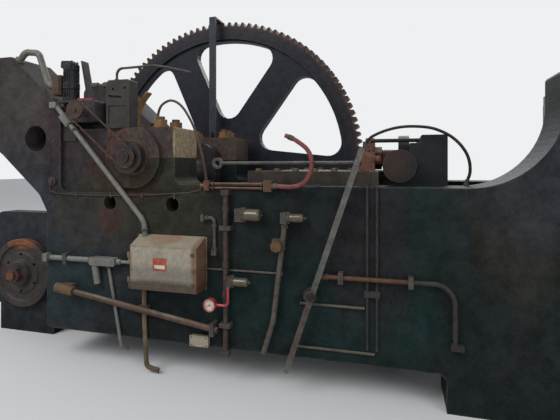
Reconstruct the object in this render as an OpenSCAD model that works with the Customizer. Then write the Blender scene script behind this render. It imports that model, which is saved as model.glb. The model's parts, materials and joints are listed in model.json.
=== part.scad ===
// Geared mechanical press, lying on its back as it is shipped.
// X runs from the crown to the feet, Z points up from the back of the press to its front.
// Places are measured from the crankshaft's axis, midway between the side frames.

/* [Frame casting] */
// Width over the two side frames
frame_w = 1120; // [1060:5:1240]
// Thickness of one side frame
side_t = 265; // [240:5:280]
// Height of the crank axis over the face that the press lies on
crank_h = 1060; // [1050:5:1120]
// Back of the column behind the crank axis
column_back = 900; // [880:5:940]
// Front edge of the column behind the crank axis
edge_drop = 134; // [130:1:145]
// Radius of the near frame's throat, where the column runs into the bed
throat_r = 350; // [250:5:350]
// Crank axis to the near frame's cheek beside the bolster
near_cheek_x = 1915; // [1900:5:1960]
// Radius of the far frame's throat
far_throat_r = 150; // [100:5:200]
// Crank axis to the far frame's cheek beside the bolster
far_cheek_x = 2150; // [2120:5:2160]
// Crank axis to the machined face of the bed
bed_x = 2165; // [2165:5:2200]
// Thickness of the bed between the side frames
bed_t = 260; // [200:5:290]
// Front of the bed before the crank axis
bed_front = 345; // [330:5:380]
// Crank axis to the floor face of the feet
floor_x = 2800; // [2780:5:3000]
// Crank axis to the rear crown's end
crown_x = 1170; // [1130:5:1200]
// Crank axis to the tips of the crown's ears
ear_x = 1000; // [900:5:1040]
// Top of the ears before the crank axis
ear_top = 555; // [520:5:600]
// Wall of the cross members
web_t = 60; // [40:2:70]
// Depth of the machined recess round the main bearings
recess_t = 25; // [10:1:40]
// Radius of the lifting holes
lift_r = 70; // [40:1:90]

/* [Crankshaft and bearings] */
// Radius of the main journals
journal_r = 75; // [65:1:80]
// Wall of the main bushes
bush_t = 13; // [8:1:14]
// Height of a bearing cap over the crank axis
cap_h = 152; // [145:1:180]
// Crank throw, half of the stroke
throw = 95; // [60:1:100]
// Radius of the crank pin
pin_r = 95; // [80:1:100]
// Running clearance of a shaft in its bush
run_fit = 0.05; // [0.03:0.01:0.08]

/* [Gear train] */
// Tooth size: pitch diameter over the number of teeth
gear_m = 16.93; // [16.5:0.01:17]
// Teeth of the bull gear
gear_teeth = 122; // [118:1:123]
// Teeth of the pinion
pinion_teeth = 14; // [14:1:16]
// Width of the toothed rim
gear_w = 110; // [90:5:130]
// Thickness of the spokes
spoke_t = 70; // [50:2:80]
// Width of a spoke
spoke_w = 226; // [180:2:240]
// Depth of the rim under the teeth
rim_t = 96; // [80:2:110]
// Distance of the backshaft towards the crown's end
backshaft_x = 920; // [900:5:940]
// Radius of the backshaft
backshaft_r = 50; // [40:1:55]

/* [Slide] */
// Width of the slide's flange
slide_w = 573; // [540:1:573]
// Length of the slide's flange
slide_l = 723; // [650:1:740]
// Crank axis to the slide's working face
slide_face_x = 1513; // [1480:1:1530]
// Radius of the shank bore
shank_r = 32; // [25:0.5:35]
// Thickness of the bolster plate
bolster_t = 90; // [70:1:110]
// Length of the gibs
gib_l = 640; // [600:5:680]

/* [Control gear] */
// Width of the trip lever
lever_w = 24; // [20:1:32]
// Thickness of the trip lever
lever_t = 12; // [8:0.5:16]
// Radius of the control rod
rod_r = 8; // [6:0.5:10]
// Width of the control box
box_w = 351; // [320:1:380]
// Height of the control box
box_h = 250; // [230:1:260]
// Depth of the control box
box_d = 90; // [70:1:110]
// Sheet thickness of the control box
sheet_t = 3; // [2:0.5:4]

/* [Pipes] */
// Diameter of the heavy conduit
conduit_d = 28; // [24:1:32]
// Diameter of the diagonal conduit
diagonal_d = 26; // [20:1:30]
// Diameter of the air riser
riser_d = 24; // [20:1:28]
// Diameter of the twin conduits
twin_d = 13; // [10:1:16]
// Diameter of the small lube lines
lube_d = 12; // [8:1:14]
// Radius of the large filter bowl
bowl_r = 31; // [26:1:34]

/* [Hidden] */
$fn = 64;
seat = 0.3;
bend_lap = 1;
bend_swell = 0.6;
half_w = frame_w / 2;
inner_w = half_w - side_t;
overlap = 5;

ear_edge = 432;
ear_foot = 270;
ear_shoulder = 750;
pad_z = cap_h - 2;
ledge = 180;
recess_right = 375;
plate_x = 518;
foot_x = 1482;
notch_z = -285;
cap_left = 165;
cap_right = 225;
boss_r = 155;
bush_r = journal_r + bush_t;

crown_near = -inner_w - 5;
crown_wall = 90;
crown_top = -326;
pad_l = 400;
pad_w = 100;
foot_lug = 60;
anchor_r = 24;
anchor_front = -110;
anchor_back = -590;

stud_r = 21;
stud_x = 122;
stud_out = 130;
stud_right = 70;
stud_in = 40;
stud_depth = 120;
nut_r = 37.5;
nut_h = 34;
washer_r = 40;
washer_t = 6;

gear_y = half_w + 40;
pitch_r = gear_m * gear_teeth / 2;
pinion_pitch_r = gear_m * pinion_teeth / 2;
centres = pitch_r + pinion_pitch_r;
backshaft_z = -sqrt(centres * centres - backshaft_x * backshaft_x);
mesh_angle = atan2(backshaft_z, -backshaft_x);
addendum = 0.8 * gear_m;
dedendum = gear_m;
backlash = 1.2;
pressure = 20;
root_r = pitch_r - dedendum;
rim_r = root_r - rim_t;
rim_lip = 12;
hub_r = 170;
hub_near = half_w + 16;
hub_far = gear_y + gear_w + 24;
seat_r = journal_r - 5;
spoke_angle = -6;
spokes = 6;
window_r = 95;

web_near = inner_w - 10;
web_far = 185;
collar_r = 80;
collar_y = -half_w - 43;
stub_r = 30;
sprocket_r = 45;
sprocket_y = -half_w - 66;
sprocket_t = 14;
chain_h = 8;
switch_x = -285;
switch_z = 240;

gib_x = 560;
gib_h = 66;
gib_out = 105;
lip_h = 21;
lip_y = 252;
flange_h = gib_h - lip_h - 1.3;
head_l = 170;
head_x = slide_face_x - head_l;
slide_x = head_x - slide_l;
lug_x = head_x - 95;
lug_y = [42.5 - slide_w / 2, 90.5 - slide_w / 2];
stop_x = head_x - 49;
stop_y = [-inner_w - 115, -inner_w - 35];
stop_r = 75;
wheel_gap = [head_x - 260, head_x - 140];
wheel_gap_w = 140;
head_step = 50;
head_top = 106;
step_top = 68;
ball_r = 60;
ball_x = head_x - 13;

plate_y = -half_w;
lever_y = plate_y - 42;
rod_y = plate_y - 28;
pivot = [918, -611];
lever_top = [1143, 33];
lever_foot = [809, -957];
rod_pin = [1121, -30];
rod_eye_x = 478;
pivot_r = 12;
rod_pin_r = 8;

box_x = 52;
box_top = -380;
box_bottom = box_top - box_h;
box_slope = 41;
door_t = 3;
hinge_r = 5;
hinge_x = box_x - hinge_r - 0.5;
hinge_y = plate_y - box_d - 4;
hinge_z = [box_bottom + 45, box_top - box_slope - 45];

// Moves a part from the crank axis to the frame on the floor
module placed() {
    translate([bolster_t - bed_x, 0, crank_h])
    children();
}

// Upright outline in X and Z, spread between two places along Y
module across(y0, y1) {
    translate([0, y1, 0])
    rotate([90, 0, 0])
    linear_extrude(y1 - y0)
    children();
}

// Outline in Y and Z, spread between two places along X
module along(x0, x1) {
    translate([x0, 0, 0])
    rotate([90, 0, 90])
    linear_extrude(x1 - x0)
    children();
}

module block(x0, x1, y0, y1, z0, z1) {
    translate([x0, y0, z0])
    cube([x1 - x0, y1 - y0, z1 - z0]);
}

module bar_x(x0, x1, y, z, r) {
    translate([x0, y, z])
    rotate([0, 90, 0])
    cylinder(r = r, h = x1 - x0);
}

module bar_y(x, z, y0, y1, r) {
    translate([x, y1, z])
    rotate([90, 0, 0])
    cylinder(r = r, h = y1 - y0);
}

module bar_z(x, y, z0, z1, r) {
    translate([x, y, z0])
    cylinder(r = r, h = z1 - z0);
}

// Both sides of the press
module both_sides() {
    children();
    mirror([0, 1, 0])
    children();
}

function unit(v) = v / norm(v);

// One corner of an outline [x, z, radius], turned into an arc
function corner(a, p, b, n) =
    p[2] == 0 ? [[p[0], p[1]]] :
    let(
        q = [p[0], p[1]],
        u = unit([a[0], a[1]] - q),
        v = unit([b[0], b[1]] - q),
        half = acos(u * v) / 2,
        c = q + unit(u + v) * p[2] / sin(half),
        s = q + u * p[2] / tan(half) - c,
        e = q + v * p[2] / tan(half) - c,
        from = atan2(s[1], s[0]),
        raw = atan2(e[1], e[0]) - from,
        turn = raw > 180 ? raw - 360 : raw < -180 ? raw + 360 : raw
    )
    [for (i = [0 : n]) c + p[2] * [cos(from + turn * i / n), sin(from + turn * i / n)]];

// A whole outline with its corners rounded
function rounded(p, n = 6) = [
    for (i = [0 : len(p) - 1])
    each corner(p[(i + len(p) - 1) % len(p)], p[i], p[(i + 1) % len(p)], p[i][2] > 200 ? 3 * n : n)
];

// Straight bar between two points
module strut(p, q, r) {
    v = q - p;
    translate(p)
    rotate([0, acos(v[2] / norm(v)), atan2(v[1], v[0])])
    cylinder(r = r, h = norm(v));
}

// Pipe through a list of points, with the same bend at each corner
module pipe(p, d, bend) {
    last = len(p) - 1;
    cut = [
        for (i = [0 : last])
        i == 0 || i == last ? 0 :
        bend / tan(acos(unit(p[i - 1] - p[i]) * unit(p[i + 1] - p[i])) / 2)
    ];
    for (i = [0 : last - 1]) {
        v = unit(p[i + 1] - p[i]);
        strut(
            p[i] + v * (cut[i] - (i == 0 ? 0 : bend_lap)),
            p[i + 1] - v * (cut[i + 1] - (i == last - 1 ? 0 : bend_lap)),
            d / 2
        );
    }
    for (i = [1 : 1 : last - 1]) {
        a = unit(p[i - 1] - p[i]);
        b = unit(p[i + 1] - p[i]);
        half = acos(a * b) / 2;
        c = p[i] + unit(a + b) * bend / sin(half);
        u = unit(p[i] + a * cut[i] - c);
        w = cross(u, -a);
        multmatrix([
            [u[0], -a[0], w[0], c[0]],
            [u[1], -a[1], w[1], c[1]],
            [u[2], -a[2], w[2], c[2]],
            [0, 0, 0, 1]
        ])
        rotate_extrude(angle = 180 - 2 * half)
        translate([bend, 0])
        circle(d / 2 + bend_swell);
    }
}

// Place between two route points of a smooth curve through all of them
function curve_at(p, i, t) =
    let(
        a = p[max(i - 1, 0)],
        b = p[i],
        c = p[i + 1],
        d = p[min(i + 2, len(p) - 1)]
    )
    0.5 * (2 * b + (c - a) * t + (2 * a - 5 * b + 4 * c - d) * t * t + (3 * b - a - 3 * c + d) * t * t * t);

function curve(p, steps) = concat(
    [for (i = [0 : len(p) - 2]) for (k = [0 : steps - 1]) curve_at(p, i, k / steps)],
    [p[len(p) - 1]]
);

// Flexible hose swept along a route that stays close to the X-Z plane
module hose(route, d, steps = 3, sides = 10) {
    path = curve(route, steps);
    last = len(path) - 1;
    rings = [
        for (i = [0 : last])
        let(
            t = unit(path[min(i + 1, last)] - path[max(i - 1, 0)]),
            u = unit(cross([0, 1, 0], t)),
            w = cross(t, u)
        )
        for (k = [0 : sides - 1])
        path[i] + d / 2 * (cos(360 * k / sides) * u + sin(360 * k / sides) * w)
    ];
    sheath = [
        for (i = [0 : last - 1]) for (k = [0 : sides - 1])
        let(a = i * sides + k, b = i * sides + (k + 1) % sides)
        each [[a, a + sides, b], [b, a + sides, b + sides]]
    ];
    ends = [
        [for (k = [0 : sides - 1]) k],
        [for (k = [sides - 1 : -1 : 0]) last * sides + k]
    ];
    polyhedron(points = rings, faces = concat(sheath, ends), convexity = 6);
}

// Frame casting

function side_outline(cheek, sweep) = rounded([
    [-ear_x, ear_top, 60],
    [-ear_shoulder, ear_top, 30],
    [-ear_edge, ear_foot, 12],
    [-ear_edge, pad_z, 15],
    [-cap_left, pad_z, 0],
    [-cap_left, 0, 0],
    [cap_right, 0, 0],
    [cap_right, -edge_drop, 40],
    [cheek, -edge_drop, sweep],
    [cheek, bed_front, 20],
    [floor_x, bed_front, 0],
    [floor_x, anchor_front - 50, 0],
    [floor_x - foot_lug, anchor_front - 50, 0],
    [floor_x - foot_lug, anchor_front + 50, 20],
    [floor_x - 340, anchor_front + 50, 90],
    [floor_x - 340, anchor_back - 50, 90],
    [floor_x - foot_lug, anchor_back - 50, 20],
    [floor_x - foot_lug, anchor_back + 50, 0],
    [floor_x, anchor_back + 50, 0],
    [floor_x, -crank_h, 0],
    [foot_x, -crank_h, 0],
    [foot_x, -column_back, 40],
    [-plate_x, -column_back, 30],
    [-plate_x, notch_z, 0],
    [-plate_x - 50, notch_z + 90, 90],
    [-plate_x - 310, 30, 120],
    [-ear_x, 100, 60]
]);

module side_frame(outline) {
    difference() {
        across(-half_w, -inner_w)
        polygon(outline);
        across(-half_w - 1, -half_w + recess_t)
        difference() {
            polygon(rounded([
                [-ear_edge, -ledge, 53],
                [recess_right, -ledge, 0],
                [recess_right, ear_top, 0],
                [-ear_edge, ear_top, 0]
            ]));
            circle(boss_r);
        }
    }
}

module crown_wall_at(y0, y1) {
    across(y0, y1)
    polygon(rounded([
        [-crown_x, crown_top, 80],
        [web_t - plate_x, crown_top, 0],
        [web_t - plate_x, -column_back, 0],
        [-crown_x, -column_back, 60]
    ]));
    block(-crown_x + 50, -crown_x + 50 + pad_l, y0 < 0 ? y0 : y1 - pad_w, y0 < 0 ? y0 + pad_w : y1,
        -crank_h, -column_back + overlap);
}

module cross_members() {
    reach = inner_w + overlap;
    rib_x = gib_x - 110;
    block(-plate_x, web_t - plate_x, -reach, reach, -column_back, 100);
    block(-crown_x + 60, 0, crown_near, reach, -column_back, web_t - column_back);
    block(-crown_x + 60, -plate_x, inner_w, half_w, -column_back, web_t - column_back);
    block(-1, rib_x + web_t, -reach, reach, -column_back, web_t - column_back);
    block(rib_x, head_x, -reach, reach, -edge_drop - web_t, -edge_drop);
    block(rib_x, rib_x + web_t, -reach, reach, -column_back, -edge_drop);
    block(head_x - web_t, head_x, -reach, reach, -column_back, -edge_drop);
    block(bed_x, bed_x + bed_t, -reach, reach, -crank_h, bed_front);
    block(bed_x - 140, bed_x + 1, -reach, reach, -crank_h, 200 - crank_h);
}

// Places of the studs of one bearing cap, as distances from the mid plane
near_studs = [
    [-stud_x, stud_out - half_w], [-stud_x, -inner_w - stud_in],
    [stud_x, stud_right - half_w], [stud_x, -inner_w - stud_in]
];
far_studs = [
    [-stud_x, half_w - stud_out], [-stud_x, inner_w + stud_in],
    [stud_x, half_w - stud_out], [stud_x, inner_w + stud_in]
];
all_studs = concat(near_studs, far_studs);

gib_screw_in = 45;
gib_screw_x = [for (i = [0 : 5]) gib_x + gib_screw_in + i * (gib_l / 5 - 32)];
gib_screw_y = inner_w + 65;
gib_screw_r = 10;

module frame() {
    color("#2c3331")
    placed()
    difference() {
        union() {
            side_frame(side_outline(near_cheek_x, throat_r));
            mirror([0, 1, 0])
            side_frame(side_outline(far_cheek_x, far_throat_r));
            crown_wall_at(crown_near, crown_near + crown_wall);
            crown_wall_at(half_w - crown_wall, half_w);
            cross_members();
        }
        bar_y(0, 0, -half_w - 1, -inner_w + 1, bush_r);
        bar_y(0, 0, inner_w - 1, half_w + 1, bush_r);
        bar_y(-backshaft_x, backshaft_z, crown_near - 1, crown_near + crown_wall + 1, backshaft_r + bush_t);
        bar_y(-backshaft_x, backshaft_z, half_w - crown_wall - 1, half_w + 1, backshaft_r + bush_t);
        for (s = all_studs)
            bar_z(s[0], s[1], -stud_depth - 10, 1, stud_r + seat);
        both_sides() {
            bar_y(-593, 104, -half_w - 1, -inner_w + 1, lift_r);
            bar_y(-127, -231, -half_w - 1, -inner_w + 1, 36);
            bar_y(225, -231, -half_w - 1, -inner_w + 1, 36);
            for (x = gib_screw_x)
                bar_z(x, -gib_screw_y, -edge_drop - 60, 1 - edge_drop, gib_screw_r + seat);
            for (z = [anchor_front, anchor_back])
                bar_x(floor_x - foot_lug - 1, floor_x + 1, side_t / 2 - half_w, z, anchor_r);
        }
    }
}

// Bolster plate with T-slots that run from front to back
bolt_y = 200;
bolt_z = [-60, 180];
tap_r = 12;

module bolster_plate() {
    x0 = bed_x - bolster_t;
    color("#4a4642")
    placed()
    difference() {
        block(x0, bed_x, 5 - inner_w, inner_w - 5, 10 - edge_drop, bed_front);
        for (y = [-130, 0, 130]) {
            block(x0 - 1, x0 + 24, y - 11, y + 11, -edge_drop, bed_front + 1);
            block(x0 + 22, x0 + 40, y - 20, y + 20, -edge_drop, bed_front + 1);
        }
        for (y = [-bolt_y, bolt_y])
            for (z = bolt_z)
                bar_x(x0 - 1, x0 + 60, y, z, tap_r);
    }
}

// Main bearings

module bearing_cap(studs) {
    difference() {
        union() {
            across(recess_t - half_w, -inner_w)
            polygon(rounded([
                [-cap_left + seat, 0, 0],
                [-cap_left + seat, cap_h, 12],
                [cap_right, cap_h, 12],
                [cap_right, 0, 0]
            ]));
            across(-half_w, recess_t - half_w + 1)
            intersection() {
                circle(boss_r);
                translate([-boss_r, 0])
                square([2 * boss_r, cap_h - 2]);
            }
        }
        bar_y(0, 0, -half_w - 1, 1 - inner_w, bush_r);
        for (s = studs)
            bar_z(s[0], -abs(s[1]), -1, cap_h + 1, stud_r + seat);
    }
}

module near_bearing_cap() {
    color("#5c4a3a")
    placed()
    bearing_cap(near_studs);
}

module far_bearing_cap() {
    color("#54463a")
    placed()
    mirror([0, 1, 0])
    bearing_cap(far_studs);
}

module cap_studs() {
    color("#6b5646")
    placed()
    for (s = all_studs)
        bar_z(s[0], s[1], -stud_depth, cap_h + washer_t + nut_h + 16, stud_r);
}

module cap_nuts() {
    color("#b5622c")
    placed()
    for (s = all_studs)
        translate([s[0], s[1], cap_h])
        difference() {
            union() {
                cylinder(r = washer_r, h = washer_t);
                translate([0, 0, washer_t])
                cylinder(r = nut_r, h = nut_h, $fn = 6);
            }
            translate([0, 0, -1])
            cylinder(r = stud_r + seat, h = nut_h + washer_t + 2);
        }
}

// A split bush: two half shells that meet on the cap's joint
module split_bush(y0, y1, inner, outer) {
    for (side = [-1, 1])
        across(y0, y1)
        difference() {
            intersection() {
                circle(outer);
                translate([-outer, side < 0 ? -outer : 0])
                square([2 * outer, outer]);
            }
            circle(inner);
        }
}

module main_bushes() {
    color("#8a6f3c")
    placed()
    both_sides()
    split_bush(-half_w, -inner_w, journal_r + run_fit, bush_r);
}

module backshaft_bushes() {
    color("#8a6f3c")
    placed()
    for (y = [crown_near, half_w - crown_wall])
        across(y, y + crown_wall)
        translate([-backshaft_x, backshaft_z])
        difference() {
            circle(backshaft_r + bush_t);
            circle(backshaft_r + run_fit);
        }
}

// Gibs that hold the slide's flange down

module gib() {
    difference() {
        along(gib_x, gib_x + gib_l)
        polygon([
            [-inner_w - gib_out, -edge_drop],
            [-slide_w / 2 - 0.5, -edge_drop],
            [-slide_w / 2 - 0.5, gib_h - lip_h - edge_drop],
            [-lip_y, gib_h - lip_h - edge_drop],
            [-lip_y, gib_h - edge_drop],
            [-inner_w - gib_out, gib_h - edge_drop]
        ]);
        for (x = gib_screw_x)
            bar_z(x, -gib_screw_y, -edge_drop - 1, gib_h + 1, gib_screw_r + seat);
    }
}

module gibs() {
    color("#4a443c")
    placed()
    both_sides()
    gib();
}

module gib_screws() {
    color("#6b5646")
    placed()
    both_sides()
    for (x = gib_screw_x)
        translate([x, -gib_screw_y, gib_h - edge_drop]) {
            translate([0, 0, -gib_h - 50])
            cylinder(r = gib_screw_r, h = gib_h + 50);
            cylinder(r = 17, h = 13, $fn = 6);
        }
}

// Guard bracket that reaches over the bull gear

guard_x = -46;
guard_y = half_w - 48;
guard_w = 52;
guard_t = 12;
guard_top = pitch_r + addendum + guard_t + 8;
guard_screws = [-110, 22];

module guard_bracket() {
    color("#3c4446")
    placed()
    difference() {
        union() {
            block(-149, 60, guard_y - 36, guard_y + 44, cap_h, cap_h + guard_t);
            block(guard_x - guard_w / 2, guard_x + guard_w / 2, guard_y, guard_y + guard_t,
                cap_h + 1, guard_top);
            block(guard_x - guard_w / 2, guard_x + guard_w / 2, guard_y, gear_y + gear_w + 12,
                guard_top - guard_t, guard_top);
            across(guard_y - 34, guard_y + 1)
            polygon([
                [guard_x - 5, cap_h + guard_t - 1],
                [guard_x + 5, cap_h + guard_t - 1],
                [guard_x + 5, cap_h + 60],
                [guard_x - 5, cap_h + 60]
            ]);
        }
        for (x = guard_screws)
            bar_z(x, guard_y - 16, cap_h - 1, cap_h + guard_t + 1, 8 + seat);
    }
}

module bracket_screws() {
    color("#6b5646")
    placed()
    for (x = guard_screws)
        translate([x, guard_y - 16, cap_h]) {
            cylinder(r = 8, h = guard_t);
            translate([0, 0, guard_t])
            cylinder(r = 14, h = 11, $fn = 6);
        }
}

// Post and small pieces on the near bearing cap

post_x = [-150, -18];
post_y = [2 - half_w, 80 - half_w];
post_top = 395;
valve_z = 374;

module bearing_post() {
    color("#5a5048")
    placed()
    difference() {
        across(post_y[0], post_y[1])
        polygon(rounded([
            [post_x[0], cap_h, 0],
            [post_x[0], post_top - 12, 4],
            [post_x[0] + 14, post_top, 4],
            [post_x[1], post_top, 8],
            [post_x[1], cap_h, 0]
        ]));
        bar_y(-112, 350, post_y[0] - 1, post_y[0] + 30, 7);
        bar_y(-42, 352, post_y[0] - 1, post_y[0] + 30, 7);
        across(post_y[0] - 1, post_y[0] + 14)
        polygon([[-140, 320], [-62, 312], [-62, 297], [-96, 303], [-140, 312]]);
        bar_z(-115, post_y[0] + 38, post_top - 20, post_top + 1, lube_d / 2 + seat);
        across(post_y[0] - 1, post_y[0] + 6)
        translate([post_x[0] + 10, cap_h + 18])
        square([post_x[1] - post_x[0] - 24, 96]);
    }
}

module post_valve() {
    y = post_y[0] + 14;
    color("#6d6258")
    placed() {
        bar_x(post_x[0] - 58, post_x[0], y, valve_z, 8);
        translate([post_x[0] - 24, y, valve_z])
        rotate([0, 90, 0])
        cylinder(r = 16, h = 24, $fn = 6);
        bar_x(post_x[0] - 96, post_x[0] - 58, y, valve_z, 15);
    }
}

module band_strip() {
    r = 245;
    c = [182, cap_h + 13];
    color("#a8762f")
    placed()
    across(100 - half_w, 148 - half_w) {
        polygon(concat(
            [for (i = [0 : 10]) c + r * [cos(180 - 4.8 * i), sin(180 - 4.8 * i)]],
            [for (i = [10 : -1 : 0]) c + (r - 9) * [cos(180 - 4.8 * i), sin(180 - 4.8 * i)]]
        ));
        translate([c[0] - r, cap_h])
        square([9, 14]);
    }
}

module oil_tube() {
    y = post_y[0] + 38;
    color("#4f4a46")
    placed()
    pipe([
        [-115, y, post_top - 19],
        [-115, y, 460],
        [100, y, 464],
        [165, y - 4, 452],
        [312, y - 16, 414]
    ], lube_d, 34);
}

cap_hose_route = [
    [64, -414, cap_h + 0.6], [64, -414, 190], [62, -414, 235], [82, -414, 278], [128, -414, 301],
    [172, -414, 290], [209, -414, 258], [240, -414, 212], [264, -414, 168], [284, -414, 120],
    [302, -414, 60], [318, -414, 0], [330, -414, -60], [336, -414, -100], [338, -414, seat - edge_drop]
];

module cap_hose() {
    color("#5b3a2c")
    placed()
    hose(cap_hose_route, 13);
}

// Rotary cam switch, its chain, and the small motor beside it

bracket_y = 90 - half_w;
foot_y = 180 - half_w;
bracket_left = 4 - ear_edge;
shelf_z = 288;
motor_r = 42;
motor_x = -388;
motor_y = 30 - half_w;

module drive_bracket() {
    color("#4b443d")
    placed() {
        block(16 - ear_edge, -172, bracket_y, foot_y, pad_z, pad_z + 12);
        block(bracket_left, -200, bracket_y, bracket_y + 12, pad_z + 11, shelf_z + 10);
        block(-ear_edge, -347, motor_y - 45, bracket_y + 12, shelf_z, shelf_z + 10);
        block(bracket_left, -350, recess_t - half_w - 7, recess_t - half_w - seat, pad_z - 60, shelf_z + 1);
    }
}

module switch_housing() {
    y0 = plate_y + 6;
    color("#2f3233")
    placed()
    difference() {
        union() {
            across(y0, bracket_y)
            polygon(rounded([
                [switch_x - 58, switch_z - 54, 8],
                [switch_x - 58, switch_z + 58, 8],
                [switch_x + 62, switch_z + 58, 8],
                [switch_x + 62, switch_z - 54, 8]
            ]));
            bar_y(switch_x, switch_z, y0 - 8, y0 + 1, 24);
        }
        bar_y(switch_x, switch_z, y0 - 9, y0 + 50, 10 + run_fit);
    }
}

module switch_cover() {
    color("#8e3a34")
    placed()
    block(switch_x - 50, switch_x + 40, plate_y + 12, motor_y + 20 - seat, switch_z + 58, switch_z + 72);
}

// Outline of a loop round the two sprockets, at a distance from their centres
function loop_outline(r) =
    let(
        v = [switch_x, switch_z],
        lean = atan2(v[1], v[0])
    )
    concat(
        [for (i = [0 : 16]) v + r * [cos(lean - 90 + i * 180 / 16), sin(lean - 90 + i * 180 / 16)]],
        [for (i = [0 : 16]) r * [cos(lean + 90 + i * 180 / 16), sin(lean + 90 + i * 180 / 16)]]
    );

module switch_chain() {
    y = sprocket_y + sprocket_t / 2;
    color("#4a3c32")
    placed()
    across(y - 5, y + 5)
    difference() {
        polygon(loop_outline(sprocket_r + 0.5 + chain_h));
        polygon(loop_outline(sprocket_r + 0.5));
    }
}

module drive_motor() {
    top = shelf_z + 10;
    color("#1d1f20")
    placed()
    translate([motor_x, motor_y, top])
    rotate_extrude()
    polygon(rounded([
        [0, 0, 0],
        [motor_r, 0, 0],
        [motor_r, 18, 2],
        [motor_r - 5, 20, 2],
        [motor_r - 5, 62, 2],
        [motor_r, 66, 2],
        [motor_r, 96, 2],
        [motor_r - 6, 100, 2],
        [motor_r - 6, 160, 2],
        [motor_r - 2, 166, 2],
        [motor_r - 2, 196, 12],
        [18, 214, 6],
        [0, 214, 0]
    ], 3));
}

module terminal_box() {
    right = motor_x - motor_r - seat;
    color("#6a4a34")
    placed() {
        block(right - 56, right, motor_y - 30, motor_y + 28, shelf_z + 46, shelf_z + 150);
        block(right - 50, right - 8, motor_y - 36, motor_y - 30, shelf_z + 52, shelf_z + 144);
    }
}

module lean_plate() {
    color("#3b3b3a")
    placed()
    across(motor_y + 20, bracket_y + 8)
    polygon([[-346, 518], [-336, 518], [-292, 300], [-292, switch_z + 58], [-304, switch_z + 58], [-304, 300]]);
}

// Conduits on the crown and the column

strap_t = 5;
strap_w = 20;
strap_ear = 14;

module crown_conduit() {
    x0 = motor_x - motor_r - seat - 56;
    fall = [ear_shoulder - ear_edge, 0, ear_foot - ear_top];
    out = unit([-fall[2], 0, fall[0]]);
    start = [-ear_shoulder, motor_y, ear_top] + 0.063 * fall;
    color("#77767a")
    placed() {
        pipe([
            start + seat * out,
            start + 62 * out,
            [x0 - 114, motor_y, ear_top + 17],
            [x0 - 44, motor_y, shelf_z + 98],
            [x0, motor_y, shelf_z + 98]
        ], 34, 40);
        strut(start + seat * out, start + 11 * out, 26);
    }
}

diagonal_y = plate_y - diagonal_d / 2 - 2;
box_entry_x = box_x + 33;

module diagonal_conduit() {
    y = diagonal_y;
    color("#a5a49e")
    placed() {
        difference() {
            pipe([
                [-352, y, 168],
                [box_entry_x, y, -320],
                [box_entry_x, y, box_top - 20]
            ], diagonal_d, 100);
            along(box_x - 1, box_x + box_w)
            box_profile(-seat);
        }
        translate([-375, y, 194])
        rotate([0, 48.2, 0]) {
            block(-40, 30, -17, 16, -19, 19);
            block(-34, 24, -21, -17, -15, 15);
        }
        strut([-402, y, 224], [-450, y, 278], diagonal_d / 2);
        block(-474, -434, plate_y - diagonal_d - 6, plate_y, 262, 292);
    }
}

level_z = -524;
body_x = [-223, -73];

module level_conduit() {
    y = plate_y - conduit_d / 2 - seat;
    color("#a5a49e")
    placed() {
        bar_x(-505, body_x[0] + 1, y, level_z, conduit_d / 2);
        block(-516, -490, plate_y - conduit_d - 5, plate_y, level_z - 20, level_z + 20);
        across(plate_y - 40, plate_y)
        polygon(rounded([
            [body_x[0], level_z - 21, 12],
            [body_x[0], level_z + 19, 12],
            [body_x[1], level_z + 19, 12],
            [body_x[1], level_z - 21, 12]
        ]));
        across(plate_y - 43, plate_y - 39)
        polygon(rounded([
            [body_x[0] + 34, level_z - 15, 8],
            [body_x[0] + 34, level_z + 13, 8],
            [body_x[1] - 10, level_z + 13, 8],
            [body_x[1] - 10, level_z - 15, 8]
        ]));
        bar_x(body_x[1] - 1, box_x, y, level_z, 9);
        bar_x(body_x[1] - 1, body_x[1] + 22, y, level_z, conduit_d / 2);
        bar_x(box_x - 14, box_x, y, level_z, conduit_d / 2 - 1);
        strut([-205, y - 3, level_z - 12], [-186, y - 3, -640], 17);
    }
}

module conduit_leg() {
    y = plate_y - 9 - seat;
    color("#8f8e88")
    placed()
    pipe([
        [-128, y, level_z - 21 - 2],
        [-52, y, -950],
        [-40, y + 40, -975]
    ], 17, 30);
}

// Control box: a shell, its door, and what it holds

module box_profile(inset) {
    polygon([
        [plate_y, box_bottom + inset],
        [plate_y, box_top - inset],
        [plate_y - box_d + inset, box_top - box_slope - inset],
        [plate_y - box_d + inset, box_bottom + inset]
    ]);
}

module control_box() {
    front = plate_y - box_d;
    color("#c9bfa9")
    placed()
    difference() {
        union() {
            along(box_x, box_x + box_w)
            box_profile(0);
            for (z = hinge_z) {
                bar_z(hinge_x, hinge_y, z - 14, z + 14, hinge_r - 1.5);
                block(hinge_x, box_x + 1, hinge_y - 1, hinge_y + 12, z - 38, z - 13);
            }
        }
        along(box_x + sheet_t, box_x + box_w - sheet_t)
        polygon([
            [plate_y - sheet_t, box_bottom + sheet_t],
            [plate_y - sheet_t, box_top - sheet_t - 2],
            [front + sheet_t, box_top - box_slope - sheet_t],
            [front + sheet_t, box_bottom + sheet_t]
        ]);
        block(box_x + 14, box_x + box_w - 14, front - 1, front + sheet_t + 1,
            box_bottom + 14, box_top - box_slope - 14);
    }
}

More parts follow.
